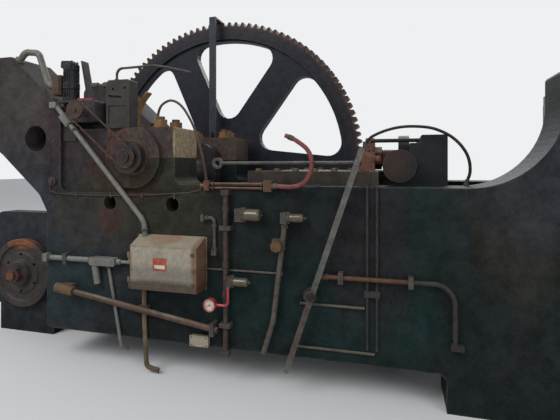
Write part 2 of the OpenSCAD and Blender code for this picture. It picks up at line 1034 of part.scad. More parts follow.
module box_door() {
    front = plate_y - box_d - 0.5;
    low = box_bottom + 3;
    high = box_top - box_slope - 4;
    knuckle = 12.5;
    color("#cdc3ad")
    placed()
    difference() {
        union() {
            block(box_x + 2, box_x + box_w - 2, front - door_t, front, low, high);
            for (z = hinge_z) {
                bar_z(hinge_x, hinge_y, z - knuckle, z + 14, hinge_r);
                block(hinge_x, box_x + 3, front - door_t, front, z - knuckle, z + 14);
            }
            bar_y(box_x + box_w - 20, (low + high) / 2, front - door_t - 9, front - 1, 8);
            block(box_x + 126, box_x + 198, front - door_t - 1.5, front - 1, -532, -474);
        }
        for (z = hinge_z)
            bar_z(hinge_x, hinge_y, z - knuckle - 1, z + 15, hinge_r - 1.5 + run_fit);
    }
}

module contactor() {
    x0 = box_x + 130;
    color("#26282a")
    placed() {
        block(x0, x0 + 90, plate_y - 58, plate_y - sheet_t, box_bottom + 70, box_bottom + 160);
        for (i = [0 : 2])
            block(x0 + 8 + 28 * i, x0 + 26 + 28 * i, plate_y - 66, plate_y - 57,
                box_bottom + 84, box_bottom + 146);
    }
}

module box_drain() {
    y = plate_y - 12;
    color("#8b7f63")
    placed() {
        bar_z(box_x + 28, y, box_bottom - 12, box_bottom, 17 - 6);
        pipe([
            [box_x + 28, y, box_bottom - 12],
            [box_x + 28, y, -800],
            [box_x + 40, y, -1030],
            [box_x + 108, y, -1042]
        ], 22, 26);
    }
}

brace_y = plate_y - 44;
brace_r = 14;
brace_start = [-308, brace_y, -684];
brace_dir = unit([807, 0, -121]);
function brace_at(x) = brace_start + (x - brace_start[0]) / brace_dir[0] * brace_dir;

module brace_rod() {
    color("#8d6a52")
    placed()
    strut(brace_start + seat * brace_dir, brace_start + 800 * brace_dir, brace_r);
}

module brace_socket() {
    color("#7a4f37")
    placed() {
        strut(brace_start - 106 * brace_dir, brace_start, 25);
        block(-396, -336, brace_y + 8, plate_y, -700, -654);
    }
}

// Air supply on the column's near side

riser_x = 517;
riser_y = plate_y - riser_d / 2 - 14;

module air_riser() {
    color("#6a5a4e")
    placed() {
        bar_z(riser_x, riser_y, -905, -176, riser_d / 2);
        block(riser_x - 18, riser_x + 18, riser_y - 18, plate_y - 1, -178, -154);
        block(riser_x - 20, riser_x + 20, riser_y - 17, plate_y, -920, -898);
        for (z = [-240, -500, -640])
            bar_z(riser_x, riser_y, z - 12, z + 12, riser_d / 2 + 4);
    }
}

module lube_lines() {
    y = plate_y - lube_d / 2 - seat;
    upper = -126;
    lower = -146;
    color("#9a6038")
    placed() {
        for (z = [upper, lower])
            bar_x(430, 701, y - 4, z, lube_d / 2);
        block(404, 431, y - 18, plate_y, -158, -112);
        bar_x(384, 404, y - 4, -136, 9);
        block(700, 738, y - 22, plate_y, -160, -110);
    }
}

filter_y = plate_y - bowl_r - 5;
filters = [
    [575, -266, 33, 57, bowl_r, 82],
    [788, -273, 27, 47, bowl_r - 9, 76],
    [532, -574, 20, 48, bowl_r - 8, 80]
];

module filter_heads() {
    color("#7d7a70")
    placed()
    for (f = filters) {
        block(f[0], f[0] + f[2], filter_y - f[3] / 2, plate_y, f[1] - f[3] / 2, f[1] + f[3] / 2);
        bar_x(f[0] + f[2] - 8, f[0] + f[2], filter_y, f[1], f[4] + 3);
    }
}

module filter_bowls() {
    color("#b5a88a")
    placed()
    for (f = filters)
        translate([f[0] + f[2], filter_y, f[1]])
        rotate([0, 90, 0])
        rotate_extrude()
        polygon(rounded([
            [0, 0, 0],
            [f[4], 0, 0],
            [f[4], 10, 1],
            [f[4] - 3, 12, 1],
            [f[4] - 3, f[5], 13],
            [0, f[5], 0]
        ], 5));
}

knob_x = 771;
knob_z = -397;
gauge_x = 455;
gauge_z = -681;
gauge_r = 30;
gauge_y = plate_y - 48;

module air_pipes() {
    color("#7b7d7c")
    placed() {
        y = plate_y - 9;
        drop_y = plate_y - 26;
        drop_top = filters[1][1] - filters[1][3] / 2 - 2;
        pipe([[400, y, -289], [454, y, -287], [454, y, -440]], 16, 22);
        block(388, 402, y - 14, plate_y, -305, -273);
        block(442, 466, y - 14, plate_y, -462, -438);
        pipe([[801, drop_y, drop_top], [747, drop_y, -740], [700, drop_y, -892]], 24, 120);
        bar_x(box_x + box_w, 772, plate_y - 5 - seat, -530, 5);
        block(770, 786, plate_y - 14, plate_y, -540, -520);
        block(knob_x - 26, knob_x + 26, plate_y - 40, plate_y, knob_z - 26, knob_z + 26);
        bar_y(knob_x, knob_z, plate_y - 62, plate_y - 39, 6);
        bar_x(867, 1150, plate_y - 6 - seat, -655, 6);
        bar_x(849, 1192, plate_y - 6 - seat, -848, 6);
    }
}

module regulator_knob() {
    color("#7a5638")
    placed()
    difference() {
        across(plate_y - 74, plate_y - 40.5)
        translate([knob_x, knob_z])
        difference() {
            circle(25);
            for (i = [0 : 11])
                rotate(i * 30)
                translate([26.5, 0])
                circle(4, $fn = 16);
        }
        bar_y(knob_x, knob_z, plate_y - 63, plate_y - 40, 6 + run_fit);
    }
}

module gauge_case() {
    color("#a33a3a")
    placed() {
        difference() {
            bar_y(gauge_x, gauge_z, gauge_y - 26, gauge_y, gauge_r);
            bar_y(gauge_x, gauge_z, gauge_y - 27, gauge_y - 20, gauge_r - 4);
        }
        pipe([
            [gauge_x + gauge_r - 2, gauge_y - 8, gauge_z],
            [filters[2][0] + 9, gauge_y - 8, gauge_z],
            [filters[2][0] + 9, gauge_y - 8, filters[2][1] - 24]
        ], 12, 20);
    }
}

module junction_box() {
    color("#b9ae93")
    placed() {
        block(338, 426, plate_y - 26, plate_y, -892, -848);
        block(334, 430, plate_y - 29, plate_y - 26, -896, -844);
    }
}

// Pipework on the column's right half

corner_x = 1511;
corner_d = 20;
corner_y = plate_y - twin_d - corner_d / 2 - 2 * seat;

module corner_pipe() {
    color("#5a5f5c")
    placed() {
        pipe([
            [966, corner_y, -526],
            [corner_x, corner_y, -526],
            [corner_x, corner_y, -770]
        ], corner_d, 82);
        bar_x(958, 984, corner_y, -526, corner_d / 2 + 2);
        block(corner_x - 16, corner_x + 34, corner_y - 10, plate_y, -788, -768);
    }
}

twin_x = [1161, 1202];

module twin_conduits() {
    y = plate_y - twin_d / 2 - seat;
    color("#4b4a4b")
    placed() {
        for (x = twin_x)
            bar_z(x, y, -832, 2 - edge_drop, twin_d / 2);
        block(twin_x[0] - 12, twin_x[1] + 12, y - twin_d / 2 - 4, plate_y, -604, -578);
    }
}

// Saddle clamp over a pipe, with its two ears on the column's side
module clamp(p, r, level) {
    half = strap_w / 2;
    ear = r + strap_ear;
    dx = level ? half : ear;
    dz = level ? ear : half;
    slot_x = level ? half + 1 : 0.8 * r;
    slot_z = level ? 0.8 * r : half + 1;
    difference() {
        block(p[0] - dx, p[0] + dx, p[1] - r - strap_t, plate_y, p[2] - dz, p[2] + dz);
        block(p[0] - slot_x, p[0] + slot_x, p[1], plate_y + 1, p[2] - slot_z, p[2] + slot_z);
        children();
    }
}

module level_clamp(x, y, z, r) {
    clamp([x, y, z], r + seat, true)
    bar_x(x - strap_w, x + strap_w, y, z, r + seat);
}

module upright_clamp(x, y, z, r) {
    clamp([x, y, z], r + seat, false)
    bar_z(x, y, z - strap_w, z + strap_w, r + seat);
}

module pipe_clamps() {
    color("#6f706c")
    placed() {
        level_clamp(body_x[0] - 157, plate_y - conduit_d / 2 - seat, level_z, conduit_d / 2);
        for (z = [-330, -780])
            upright_clamp(riser_x, riser_y, z, riser_d / 2);
        for (x = [1050, 1340])
            level_clamp(x, corner_y, -526, corner_d / 2);
        upright_clamp(box_x + 28, plate_y - 12, -740, 11);
        clamp(brace_at(460), brace_r + seat, true)
        strut(brace_at(420), brace_at(500), brace_r + seat);
    }
}

// Trip gear

module lever_bracket() {
    color("#4a4038")
    placed() {
        bar_y(pivot[0], pivot[1], lever_y + lever_t / 2 + 0.5, plate_y, 32);
        bar_y(pivot[0], pivot[1], lever_y - lever_t / 2 - 14, plate_y, pivot_r);
        bar_y(pivot[0], pivot[1], lever_y - lever_t / 2 - 13, lever_y - lever_t / 2 - 0.5, 20);
    }
}

module trip_lever() {
    y0 = lever_y - lever_t / 2;
    y1 = lever_y + lever_t / 2;
    v = lever_top - lever_foot;
    long = norm(v);
    color("#6b6c68")
    placed() {
        difference() {
            union() {
                across(y0, y1)
                translate(lever_foot)
                rotate(atan2(v[1], v[0]))
                polygon(rounded([
                    [0, -lever_w / 2, lever_w / 2 - 2],
                    [long, -lever_w / 2, lever_w / 2 - 2],
                    [long, lever_w / 2, lever_w / 2 - 2],
                    [0, lever_w / 2, lever_w / 2 - 2]
                ]));
                bar_y(pivot[0], pivot[1], y0, y1, 24);
            }
            bar_y(pivot[0], pivot[1], y0 - 1, y1 + 1, pivot_r + run_fit);
        }
        bar_y(rod_pin[0], rod_pin[1], y1 - 1, rod_y + 10, rod_pin_r);
        bar_y(rod_pin[0], rod_pin[1], y0 - 7, y0 + 1, 12);
    }
}

module control_rod() {
    color("#77716a")
    placed()
    difference() {
        union() {
            bar_x(rod_eye_x + 15, rod_pin[0] - 12, rod_y, rod_pin[1], rod_r);
            bar_y(rod_pin[0], rod_pin[1], rod_y - 6, rod_y + 6, 18);
            bar_y(rod_eye_x, rod_pin[1], rod_y - 6, rod_y + 6, 26);
        }
        bar_y(rod_pin[0], rod_pin[1], rod_y - 7, rod_y + 7, rod_pin_r + run_fit);
        bar_y(rod_eye_x, rod_pin[1], rod_y - 7, rod_y + 7, 13);
    }
}

// Hoses

module hose_block() {
    color("#6e4633")
    placed() {
        block(1108, 1182, -inner_w - 101, -inner_w - 21, gib_h - edge_drop, 22);
        block(1118, 1150, -inner_w - 65, -inner_w - 35, 21, 44);
        bar_z(1164, -inner_w - 50, 21, 52, 9);
        bar_x(1182, 1206, -inner_w - 77, -12, 16);
    }
}

red_hose_route = [
    [738.5, -578, -135], [770, -580, -135], [810, -588, -137], [850, -600, -134], [885, -610, -122],
    [910, -614, -98], [923, -614, -66], [928, -614, -30], [922, -614, 4], [906, -614, 32],
    [880, -612, 54], [846, -610, 76], [809, -608, 92]
];

module red_hose() {
    color("#7c4038")
    placed()
    hose(red_hose_route, 20);
}

black_hose_route = [
    [1134, -345, 44.8], [1135, -345, 62], [1156, -345, 88], [1184, -345, 106], [1228, -345, 124],
    [1280, -345, 137], [1330, -345, 142], [1387, -345, 140], [1438, -345, 132], [1484, -345, 114],
    [1526, -345, 88], [1562, -345, 52], [1588, -345, 10], [1600, -345, -34], [1600, -345, -76],
    [1590, -345, -108], [1584, -345, -131]
];

module black_hose() {
    color("#26211f")
    placed()
    hose(black_hose_route, 14);
}

// Crankshaft and bull gear

module crankshaft() {
    color("#6d6055")
    placed() {
        bar_y(0, 0, collar_y - 34, collar_y + 1, stub_r);
        bar_y(0, 0, collar_y, -half_w - 3, collar_r);
        bar_y(0, 0, -half_w - 4, 1 - web_near, journal_r);
        bar_y(0, 0, web_near - 1, hub_near - 1, journal_r);
        bar_y(0, 0, hub_near - 2, hub_far + 18, seat_r);
        bar_y(0, -throw, -web_far - 1, web_far + 1, pin_r);
        both_sides()
        across(-web_near, -web_far)
        polygon(rounded([
            [-115, 105, 100],
            [115, 105, 100],
            [125, -throw - 130, 110],
            [-125, -throw - 130, 110]
        ]));
    }
}

// One flank of an involute tooth: [radius, half of the tooth's angle there]
function involute(a) = tan(a) * 180 / PI - a;
function half_tooth(r, teeth, base) =
    let(
        p = gear_m * teeth / 2,
        at_pitch = 90 / teeth - backlash / 2 / p * 180 / PI
    )
    at_pitch + involute(pressure) - (r > base ? involute(acos(base / r)) : 0);

// Outline of a spur gear with its first tooth on the X axis
function gear_outline(teeth) =
    let(
        p = gear_m * teeth / 2,
        base = p * cos(pressure),
        low = p - dedendum,
        radii = [low + 3, max(base, p - 0.5 * gear_m), p + 0.3 * gear_m, p + addendum]
    )
    [
        for (i = [0 : teeth - 1])
        let(c = i * 360 / teeth)
        each concat(
            [for (r = radii) let(a = c - half_tooth(r, teeth, base)) r * [cos(a), sin(a)]],
            [for (k = [3 : -1 : 0]) let(r = radii[k], a = c + half_tooth(r, teeth, base)) r * [cos(a), sin(a)]],
            [low * [cos(c + 180 / teeth), sin(c + 180 / teeth)]]
        )
    ];

function arc(c, r, from, to, n) =
    [for (i = [0 : n]) c + r * [cos(from + (to - from) * i / n), sin(from + (to - from) * i / n)]];

// Window between two spokes that stand 60 degrees apart, the first on the X axis
function window_outline() =
    let(
        gap = 360 / spokes,
        edge = spoke_w / 2 + window_r,
        edge_r = rim_r - rim_lip,
        reach = edge_r - window_r,
        lean = asin(edge / reach),
        foot = edge / sin(gap / 2)
    )
    concat(
        arc(reach * [cos(lean), sin(lean)], window_r, -90, lean, 6),
        arc([0, 0], edge_r, lean + 2, gap - lean - 2, 10),
        arc(reach * [cos(gap - lean), sin(gap - lean)], window_r, gap - lean, gap + 90, 6),
        arc(foot * [cos(gap / 2), sin(gap / 2)], window_r, gap + 90, 270, 6)
    );

module bull_gear() {
    spoke_near = gear_y + (gear_w - spoke_t) / 2;
    color("#37403f")
    placed()
    difference() {
        union() {
            across(gear_y, gear_y + gear_w)
            difference() {
                rotate(mesh_angle)
                polygon(gear_outline(gear_teeth));
                circle(rim_r, $fn = 128);
            }
            across(spoke_near, spoke_near + spoke_t)
            difference() {
                circle(rim_r + rim_t / 2, $fn = 128);
                for (i = [0 : spokes - 1])
                    rotate(spoke_angle + i * 360 / spokes)
                    polygon(window_outline());
            }
            bar_y(0, 0, hub_near, hub_far, hub_r);
        }
        bar_y(0, 0, hub_near - 1, hub_far + 1, seat_r + seat);
        block(-18, 18, hub_near - 1, hub_far + 1, 0, seat_r + 22);
    }
}

module gear_key() {
    color("#6b5646")
    placed()
    difference() {
        block(-17.5, 17.5, hub_near + 4, hub_far + 8, 0, seat_r + 21);
        bar_y(0, 0, hub_near, hub_far + 10, seat_r + seat);
    }
}

// Sprocket with short rounded teeth
module sprocket(x, z, bore) {
    across(sprocket_y, sprocket_y + sprocket_t)
    translate([x, z])
    difference() {
        circle(sprocket_r);
        circle(bore);
        for (i = [0 : 17])
            rotate(i * 20)
            translate([sprocket_r + 2, 0])
            circle(4.5, $fn = 16);
    }
}

module switch_rotor() {
    color("#4a3c32")
    placed() {
        sprocket(switch_x, switch_z, 5);
        bar_y(switch_x, switch_z, sprocket_y - 8, plate_y + 54, 10);
    }
}

module crank_sprocket() {
    color("#4a3c32")
    placed()
    sprocket(0, 0, stub_r + seat);
}

// Backshaft

disc_y = [crown_near - 45, crown_near - 3];
disc_r = 206;
shaft_end = disc_y[0] - 78;

module backshaft() {
    color("#70503e")
    placed()
    translate([-backshaft_x, 0, backshaft_z])
    difference() {
        union() {
            bar_y(0, 0, disc_y[1] - 1, gear_y - 4, backshaft_r);
            bar_y(0, 0, gear_y - 5, gear_y + gear_w + 22, backshaft_r - 5);
            translate([0, disc_y[1], 0])
            rotate([90, 0, 0])
            rotate_extrude($fn = 96)
            polygon(rounded([
                [0, 0, 0],
                [disc_r, 0, 4],
                [disc_r, 42, 5],
                [disc_r - 34, 42, 4],
                [disc_r - 42, 30, 6],
                [disc_r - 78, 30, 6],
                [disc_r - 86, 38, 4],
                [84, 38, 10],
                [70, 66, 6],
                [0, 66, 0]
            ], 3));
            translate([0, disc_y[1] - 65, 0])
            rotate([90, 0, 0])
            cylinder(r = 44, h = 34, $fn = 6);
            bar_y(0, 0, shaft_end, disc_y[1] - 90, 27);
        }
        for (i = [0 : 5])
            rotate([0, i * 60 + 30, 0])
            bar_y(112, 0, disc_y[0] - 10, disc_y[1] + 1, 10);
    }
}

module pinion() {
    color("#6a4c3a")
    placed()
    translate([-backshaft_x, 0, backshaft_z])
    across(gear_y, gear_y + gear_w)
    difference() {
        rotate(mesh_angle + 180 + 180 / pinion_teeth)
        polygon(gear_outline(pinion_teeth));
        circle(backshaft_r - 5 + seat);
    }
}

// Slide with its head, the lug of the side cap, and the shank bore

module slide() {
    z0 = seat - edge_drop;
    color("#333b3a")
    placed()
    difference() {
        union() {
            block(slide_x, head_x + 1, -slide_w / 2, slide_w / 2, z0, z0 + flange_h);
            block(slide_x + 30, head_x + 1, -lip_y + 2, lip_y - 2, z0, gib_h - edge_drop);
            block(head_x, head_x + head_step, -slide_w / 2, slide_w / 2, z0, step_top);
            across(-slide_w / 2, slide_w / 2)
            polygon(rounded([
                [head_x + head_step - 1, z0, 0],
                [head_x + head_step - 1, head_top, 10],
                [slide_face_x, head_top, 10],
                [slide_face_x, z0, 0]
            ]));
            block(lug_x, head_x + 1, lug_y[0], lug_y[1], z0, 10);
            bar_y(stop_x, -43, stop_y[0], stop_y[1], stop_r);
            bar_y(stop_x, -43, stop_y[1] - 1, lug_y[1] - 4, 26);
            bar_x(head_x - 193, head_x + head_step, -slide_w / 2 + 136.5, 88, 10);
            bar_x(head_x - 55, head_x + 1, 0, 0, 122);
        }
        bar_x(ball_x - 48, ball_x + ball_r + seat, 0, 0, ball_r + run_fit);
        bar_x(head_x - 56, head_x, 0, 0, 50);
        block(wheel_gap[0], wheel_gap[1], -wheel_gap_w, wheel_gap_w, z0 - 1, 0);
        bar_x(slide_face_x - 95, slide_face_x + 1, 0, 0, shank_r);
    }
}

module adjusting_screw() {
    color("#7a4a33")
    placed() {
        translate([ball_x, 0, 0])
        sphere(ball_r);
        bar_x(head_x - 270, ball_x - 20, 0, 0, 44);
        translate([head_x - 228, 0, 0])
        rotate([0, 90, 0])
        linear_extrude(46)
        difference() {
            circle(112);
            for (i = [0 : 23])
                rotate(i * 15)
                translate([114, 0])
                circle(9, $fn = 16);
        }
        translate([head_x - 182, 0, 0])
        rotate([0, 90, 0])
        cylinder(r = 62, h = 40, $fn = 6);
    }
}

frame();
bolster_plate();
near_bearing_cap();
far_bearing_cap();
cap_studs();
cap_nuts();
main_bushes();
gibs();
gib_screws();
backshaft_bushes();
guard_bracket();
bracket_screws();
bearing_post();
post_valve();
band_strip();
oil_tube();
cap_hose();
drive_bracket();
switch_housing();
switch_cover();
switch_chain();
drive_motor();
terminal_box();
lean_plate();
crown_conduit();
diagonal_conduit();
level_conduit();
conduit_leg();
control_box();
box_door();
contactor();
box_drain();
brace_rod();
brace_socket();
air_riser();
lube_lines();
air_pipes();
filter_heads();
filter_bowls();
gauge_case();
junction_box();
corner_pipe();
twin_conduits();
pipe_clamps();
lever_bracket();
hose_block();
red_hose();
black_hose();
crankshaft();
bull_gear();
gear_key();
crank_sprocket();
backshaft();
pinion();
slide();
adjusting_screw();
trip_lever();
control_rod();
switch_rotor();
regulator_knob();
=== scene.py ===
"""Looks of a geared gap-frame press that lies on its back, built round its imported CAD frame."""

import json
import logging
import math
from dataclasses import dataclass, field
from enum import Enum
from typing import NamedTuple

import bmesh
import bpy
from mathutils import Matrix, Vector

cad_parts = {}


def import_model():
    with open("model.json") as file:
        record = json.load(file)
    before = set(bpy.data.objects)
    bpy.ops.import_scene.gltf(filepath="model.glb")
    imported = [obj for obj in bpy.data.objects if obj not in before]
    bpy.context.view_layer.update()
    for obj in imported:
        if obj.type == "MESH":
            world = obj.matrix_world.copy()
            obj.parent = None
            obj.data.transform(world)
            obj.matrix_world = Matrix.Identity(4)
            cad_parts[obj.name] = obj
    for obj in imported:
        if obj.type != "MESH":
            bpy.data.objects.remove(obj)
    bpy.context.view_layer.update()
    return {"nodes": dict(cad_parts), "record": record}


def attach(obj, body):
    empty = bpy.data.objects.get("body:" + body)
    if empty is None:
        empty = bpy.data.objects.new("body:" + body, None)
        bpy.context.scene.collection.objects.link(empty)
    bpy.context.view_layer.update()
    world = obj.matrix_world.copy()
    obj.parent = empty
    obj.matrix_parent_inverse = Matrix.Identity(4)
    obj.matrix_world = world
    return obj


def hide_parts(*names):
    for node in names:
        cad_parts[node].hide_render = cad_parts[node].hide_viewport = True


LOG = logging.getLogger("press")
CRANK = Vector((-2.075, 0.0, 1.06))
MM_PER_M = 1000
IMAGE_W = 560

# The display curve of a colour: its top value, its straight part and its bent part.
CHANNEL_TOP = 255
STRAIGHT_END = 0.04045
STRAIGHT_SLOPE = 12.92
BEND_SHIFT = 0.055
BEND_POWER = 2.4

# Sockets of the Mix node for colours.
MIX_FACTOR, MIX_FIRST, MIX_SECOND, MIX_RESULT = 0, 6, 7, 2

# How a noise is cut to a mask: its level at an amount of 0, the fall to an amount of 1, and the
# least width of its edge.
MASK_TOP = 0.78
MASK_FALL = 0.56
MASK_SOFT = 0.01

# Sides of a hexagon, and the angle in radians from which an edge counts as sharp.
HEXAGON = 6
SHARP_ANGLE = 1.0

# A thread's ridge: half its foot in pitches, how deep it sits in the root, and its steps.
RIDGE_FOOT = 0.42
RIDGE_SUNK = 0.0004
STEPS_A_TURN = 24

Point = tuple[float, float, float]
Colour = tuple[float, float, float, float]


class Body(Enum):
    """CAD bodies that the added pieces ride on."""

    FRAME = "press_frame"
    DOOR = "door"
    SCREW = "screw"


class FarEnd(Enum):
    """What a hose has at its far end."""

    OBJECT = "object"
    BARE = "bare"


class Bar(NamedTuple):
    """Radius, width of the rounded end edges, and sides of a rod, in metres."""

    radius: float
    edge: float
    sides: int


class Button(NamedTuple):
    """Radius, depth, width of the rounded edges, and sides of a disc, in metres."""

    radius: float
    depth: float
    edge: float
    sides: int


class Block(NamedTuple):
    """Three sides of a box and the width of its rounded edges, in metres."""

    size: Point
    edge: float


def srgb(red: float, green: float, blue: float) -> Colour:
    """Turns a colour as the eye sees it into the shader's linear values.

    Args:
        red: red from 0 to 255.
        green: green from 0 to 255.
        blue: blue from 0 to 255.

    Returns:
        Linear red, green and blue, with an alpha of 1.
    """

    def linear(value: float) -> float:
        """Undoes the display curve for one channel.

        Args:
            value: the channel from 0 to 255.

        Returns:
            Its linear value from 0 to 1.
        """
        part = value / CHANNEL_TOP
        if part <= STRAIGHT_END:
            return part / STRAIGHT_SLOPE
        return ((part + BEND_SHIFT) / (1 + BEND_SHIFT)) ** BEND_POWER

    return (linear(red), linear(green), linear(blue), 1.0)


def at_crank(x: float, y: float, z: float) -> Vector:
    """Place given in millimetres from the crank axis.

    Args:
        x: distance towards the bed.
        y: distance towards the bull gear.
        z: height over the crank axis.

    Returns:
        The same place in the model's frame, in metres.
    """
    return CRANK + Vector((x, y, z)) / MM_PER_M


def mm(value: float) -> float:
    """Turns millimetres into metres."""
    return value / MM_PER_M


class Graph:
    """A short way to add and join the nodes of one tree."""

    def __init__(self, tree: bpy.types.NodeTree) -> None:
        """Keeps the tree that the nodes go into."""
        self.tree = tree

    def add(self, kind: str, **values: object) -> bpy.types.Node:
        """Adds one node and sets its sockets and properties.

        Args:
            kind: the node's class name, without its ShaderNode prefix.
            **values: socket values or links by name, with _ for a space, or node properties.

        Returns:
            The new node.
        """
        node = self.tree.nodes.new("ShaderNode" + kind)
        for name, value in values.items():
            if hasattr(node, name) and name.islower():
                setattr(node, name, value)
                continue
            socket = node.inputs[name.replace("_", " ")]
            if isinstance(value, bpy.types.NodeSocket):
                self.tree.links.new(value, socket)
            else:
                socket.default_value = value
        return node

    def math(self, operation: str, first: object, second: object = 0.0) -> bpy.types.NodeSocket:
        """One arithmetic step.

        Args:
            operation: name of the operation.
            first: a number or a link.
            second: a number or a link.

        Returns:
            The result's socket.
        """
        node = self.add("Math", operation=operation)
        for socket, value in zip(node.inputs, (first, second)):
            if isinstance(value, bpy.types.NodeSocket):
                self.tree.links.new(value, socket)
            else:
                socket.default_value = value
        return node.outputs[0]

    def mix(self, amount: object, first: object, second: object) -> bpy.types.NodeSocket:
        """Blends two colours.

        Args:
            amount: a number or a link, 0 for the first and 1 for the second.
            first: a colour or a link.
            second: a colour or a link.

        Returns:
            The blended colour's socket.
        """
        node = self.add("Mix", data_type="RGBA")
        for index, value in ((MIX_FACTOR, amount), (MIX_FIRST, first), (MIX_SECOND, second)):
            if isinstance(value, bpy.types.NodeSocket):
                self.tree.links.new(value, node.inputs[index])
            else:
                node.inputs[index].default_value = value
        return node.outputs[MIX_RESULT]

    def span(
        self, value: object, low: float, high: float, start: float = 0.0, end: float = 1.0,
    ) -> bpy.types.NodeSocket:
        """Maps a value from one span to another with soft ends.

        Args:
            value: the value's link.
            low: value that gives start.
            high: value that gives end.
            start: result at low.
            end: result at high.

        Returns:
            The mapped value's socket.
        """
        node = self.add("MapRange", interpolation_type="SMOOTHSTEP")
        self.tree.links.new(value, node.inputs["Value"])
        for name, number in (
            ("From Min", low), ("From Max", high), ("To Min", start), ("To Max", end),
        ):
            node.inputs[name].default_value = number
        return node.outputs["Result"]


class Effects:
    """Shader groups that the finishes share."""

    def __init__(self) -> None:
        """Builds each group once."""
        self.patches = self._patches()
        self.streaks = self._streaks()
        self.relief = self._relief()
        self.zone = self._zone()
        self.edges = self._edge_wear_and_highlight()
        self.settled_dust_and_top_light = self._settled_dust_and_top_light()
        self.scratches = self._scratches()
        self.ring = self._ring()

    @staticmethod
    def _group(name: str, inputs: dict[str, float], output: str) -> tuple[
        bpy.types.NodeTree, Graph, dict,
    ]:
        """Starts a group with a vector input, number inputs and one output.

        Args:
            name: the group's name.
            inputs: number inputs with their usual values.
            output: name of the value that the group puts out.

        Returns:
            The tree, a graph on it, and its inner sockets by name, with "out" for the output's.
        """
        tree = bpy.data.node_groups.new(name, "ShaderNodeTree")
        tree.interface.new_socket("Vector", in_out="INPUT", socket_type="NodeSocketVector")
        for key, value in inputs.items():
            socket = tree.interface.new_socket(key, in_out="INPUT", socket_type="NodeSocketFloat")
            socket.default_value = value
        tree.interface.new_socket(output, in_out="OUTPUT", socket_type="NodeSocketFloat")
        start = tree.nodes.new("NodeGroupInput")
        end = tree.nodes.new("NodeGroupOutput")
        sockets = {s.name: s for s in start.outputs if s.name}
        sockets["out"] = end.inputs[output]
        return tree, Graph(tree), sockets

    @staticmethod
    def _threshold(
        graph: Graph, value: bpy.types.NodeSocket, amount: bpy.types.NodeSocket,
        soft: bpy.types.NodeSocket,
    ) -> bpy.types.NodeSocket:
        """Keeps the part of a noise that lies over a level.

        Args:
            graph: the graph to add to.
            value: the noise.
            amount: share that is kept.
            soft: width of the mask's edge.

        Returns:
            A mask from 0 to 1.
        """
        level = graph.math("SUBTRACT", MASK_TOP, graph.math("MULTIPLY", amount, MASK_FALL))
        over = graph.math("SUBTRACT", value, level)
        node = graph.math("DIVIDE", over, graph.math("MAXIMUM", soft, MASK_SOFT))
        clamp = graph.add("Clamp")
        graph.tree.links.new(node, clamp.inputs["Value"])
        return clamp.outputs["Result"]

    def _patches(self) -> bpy.types.NodeTree:
        """Uneven patches, such as rust or worn paint.

        Returns:
            The group, which puts out a mask.
        """
        tree, graph, io = self._group(
            "patches", {"Scale": 4.0, "Amount": 0.4, "Soft": 0.15}, "Mask",
        )
        noise = graph.add(
            "TexNoise", Vector=io["Vector"], Scale=io["Scale"], Detail=7.0, Roughness=0.66,
            Distortion=0.35,
        )
        tree.links.new(
            self._threshold(graph, noise.outputs["Fac"], io["Amount"], io["Soft"]), io["out"],
        )
        return tree

    def _streaks(self) -> bpy.types.NodeTree:
        """Runs of dirt and water that fall along Z.

        Returns:
            The group, which puts out a mask.
        """
        tree, graph, io = self._group("streaks", {"Scale": 9.0, "Amount": 0.4, "Soft": 0.2}, "Mask")
        squeeze = graph.add("Mapping", Vector=io["Vector"], Scale=(1.0, 1.0, 0.11))
        noise = graph.add(
            "TexNoise", Vector=squeeze.outputs["Vector"], Scale=io["Scale"], Detail=5.0,
            Roughness=0.6,
        )
        tree.links.new(
            self._threshold(graph, noise.outputs["Fac"], io["Amount"], io["Soft"]), io["out"],
        )
        return tree

    def _relief(self) -> bpy.types.NodeTree:
        """Height of a cast or pitted surface.

        Returns:
            The group, which puts out a height.
        """
        tree, graph, io = self._group("relief", {"Scale": 60.0, "Coarse": 0.5}, "Height")
        fine = graph.add(
            "TexNoise", Vector=io["Vector"], Scale=io["Scale"], Detail=4.0, Roughness=0.6,
        )
        wide = graph.add("TexNoise", Vector=io["Vector"], Scale=7.0, Detail=3.0, Roughness=0.5)
        coarse = graph.math("MULTIPLY", wide.outputs["Fac"], io["Coarse"])
        tree.links.new(graph.math("ADD", fine.outputs["Fac"], coarse), io["out"])
        return tree

    def _zone(self) -> bpy.types.NodeTree:
        """A ball of a given radius round the vector's zero, with a ragged edge.

        Returns:
            The group, which puts out a mask.
        """
        tree, graph, io = self._group("zone", {"Radius": 0.3, "Ragged": 0.2}, "Mask")
        length = graph.add("VectorMath", operation="LENGTH")
        tree.links.new(io["Vector"], length.inputs[0])
        noise = graph.add("TexNoise", Vector=io["Vector"], Scale=6.0, Detail=6.0, Roughness=0.65)
        wave = graph.math(
            "MULTIPLY", graph.math("SUBTRACT", noise.outputs["Fac"], 0.5), io["Ragged"],
        )
        reach = graph.math("DIVIDE", graph.math("ADD", length.outputs["Value"], wave), io["Radius"])
        clamp = graph.add("Clamp")
        tree.links.new(
            graph.math("MULTIPLY", graph.math("SUBTRACT", 1.25, reach), 2.0), clamp.inputs["Value"],
        )
        tree.links.new(clamp.outputs["Result"], io["out"])
        return tree

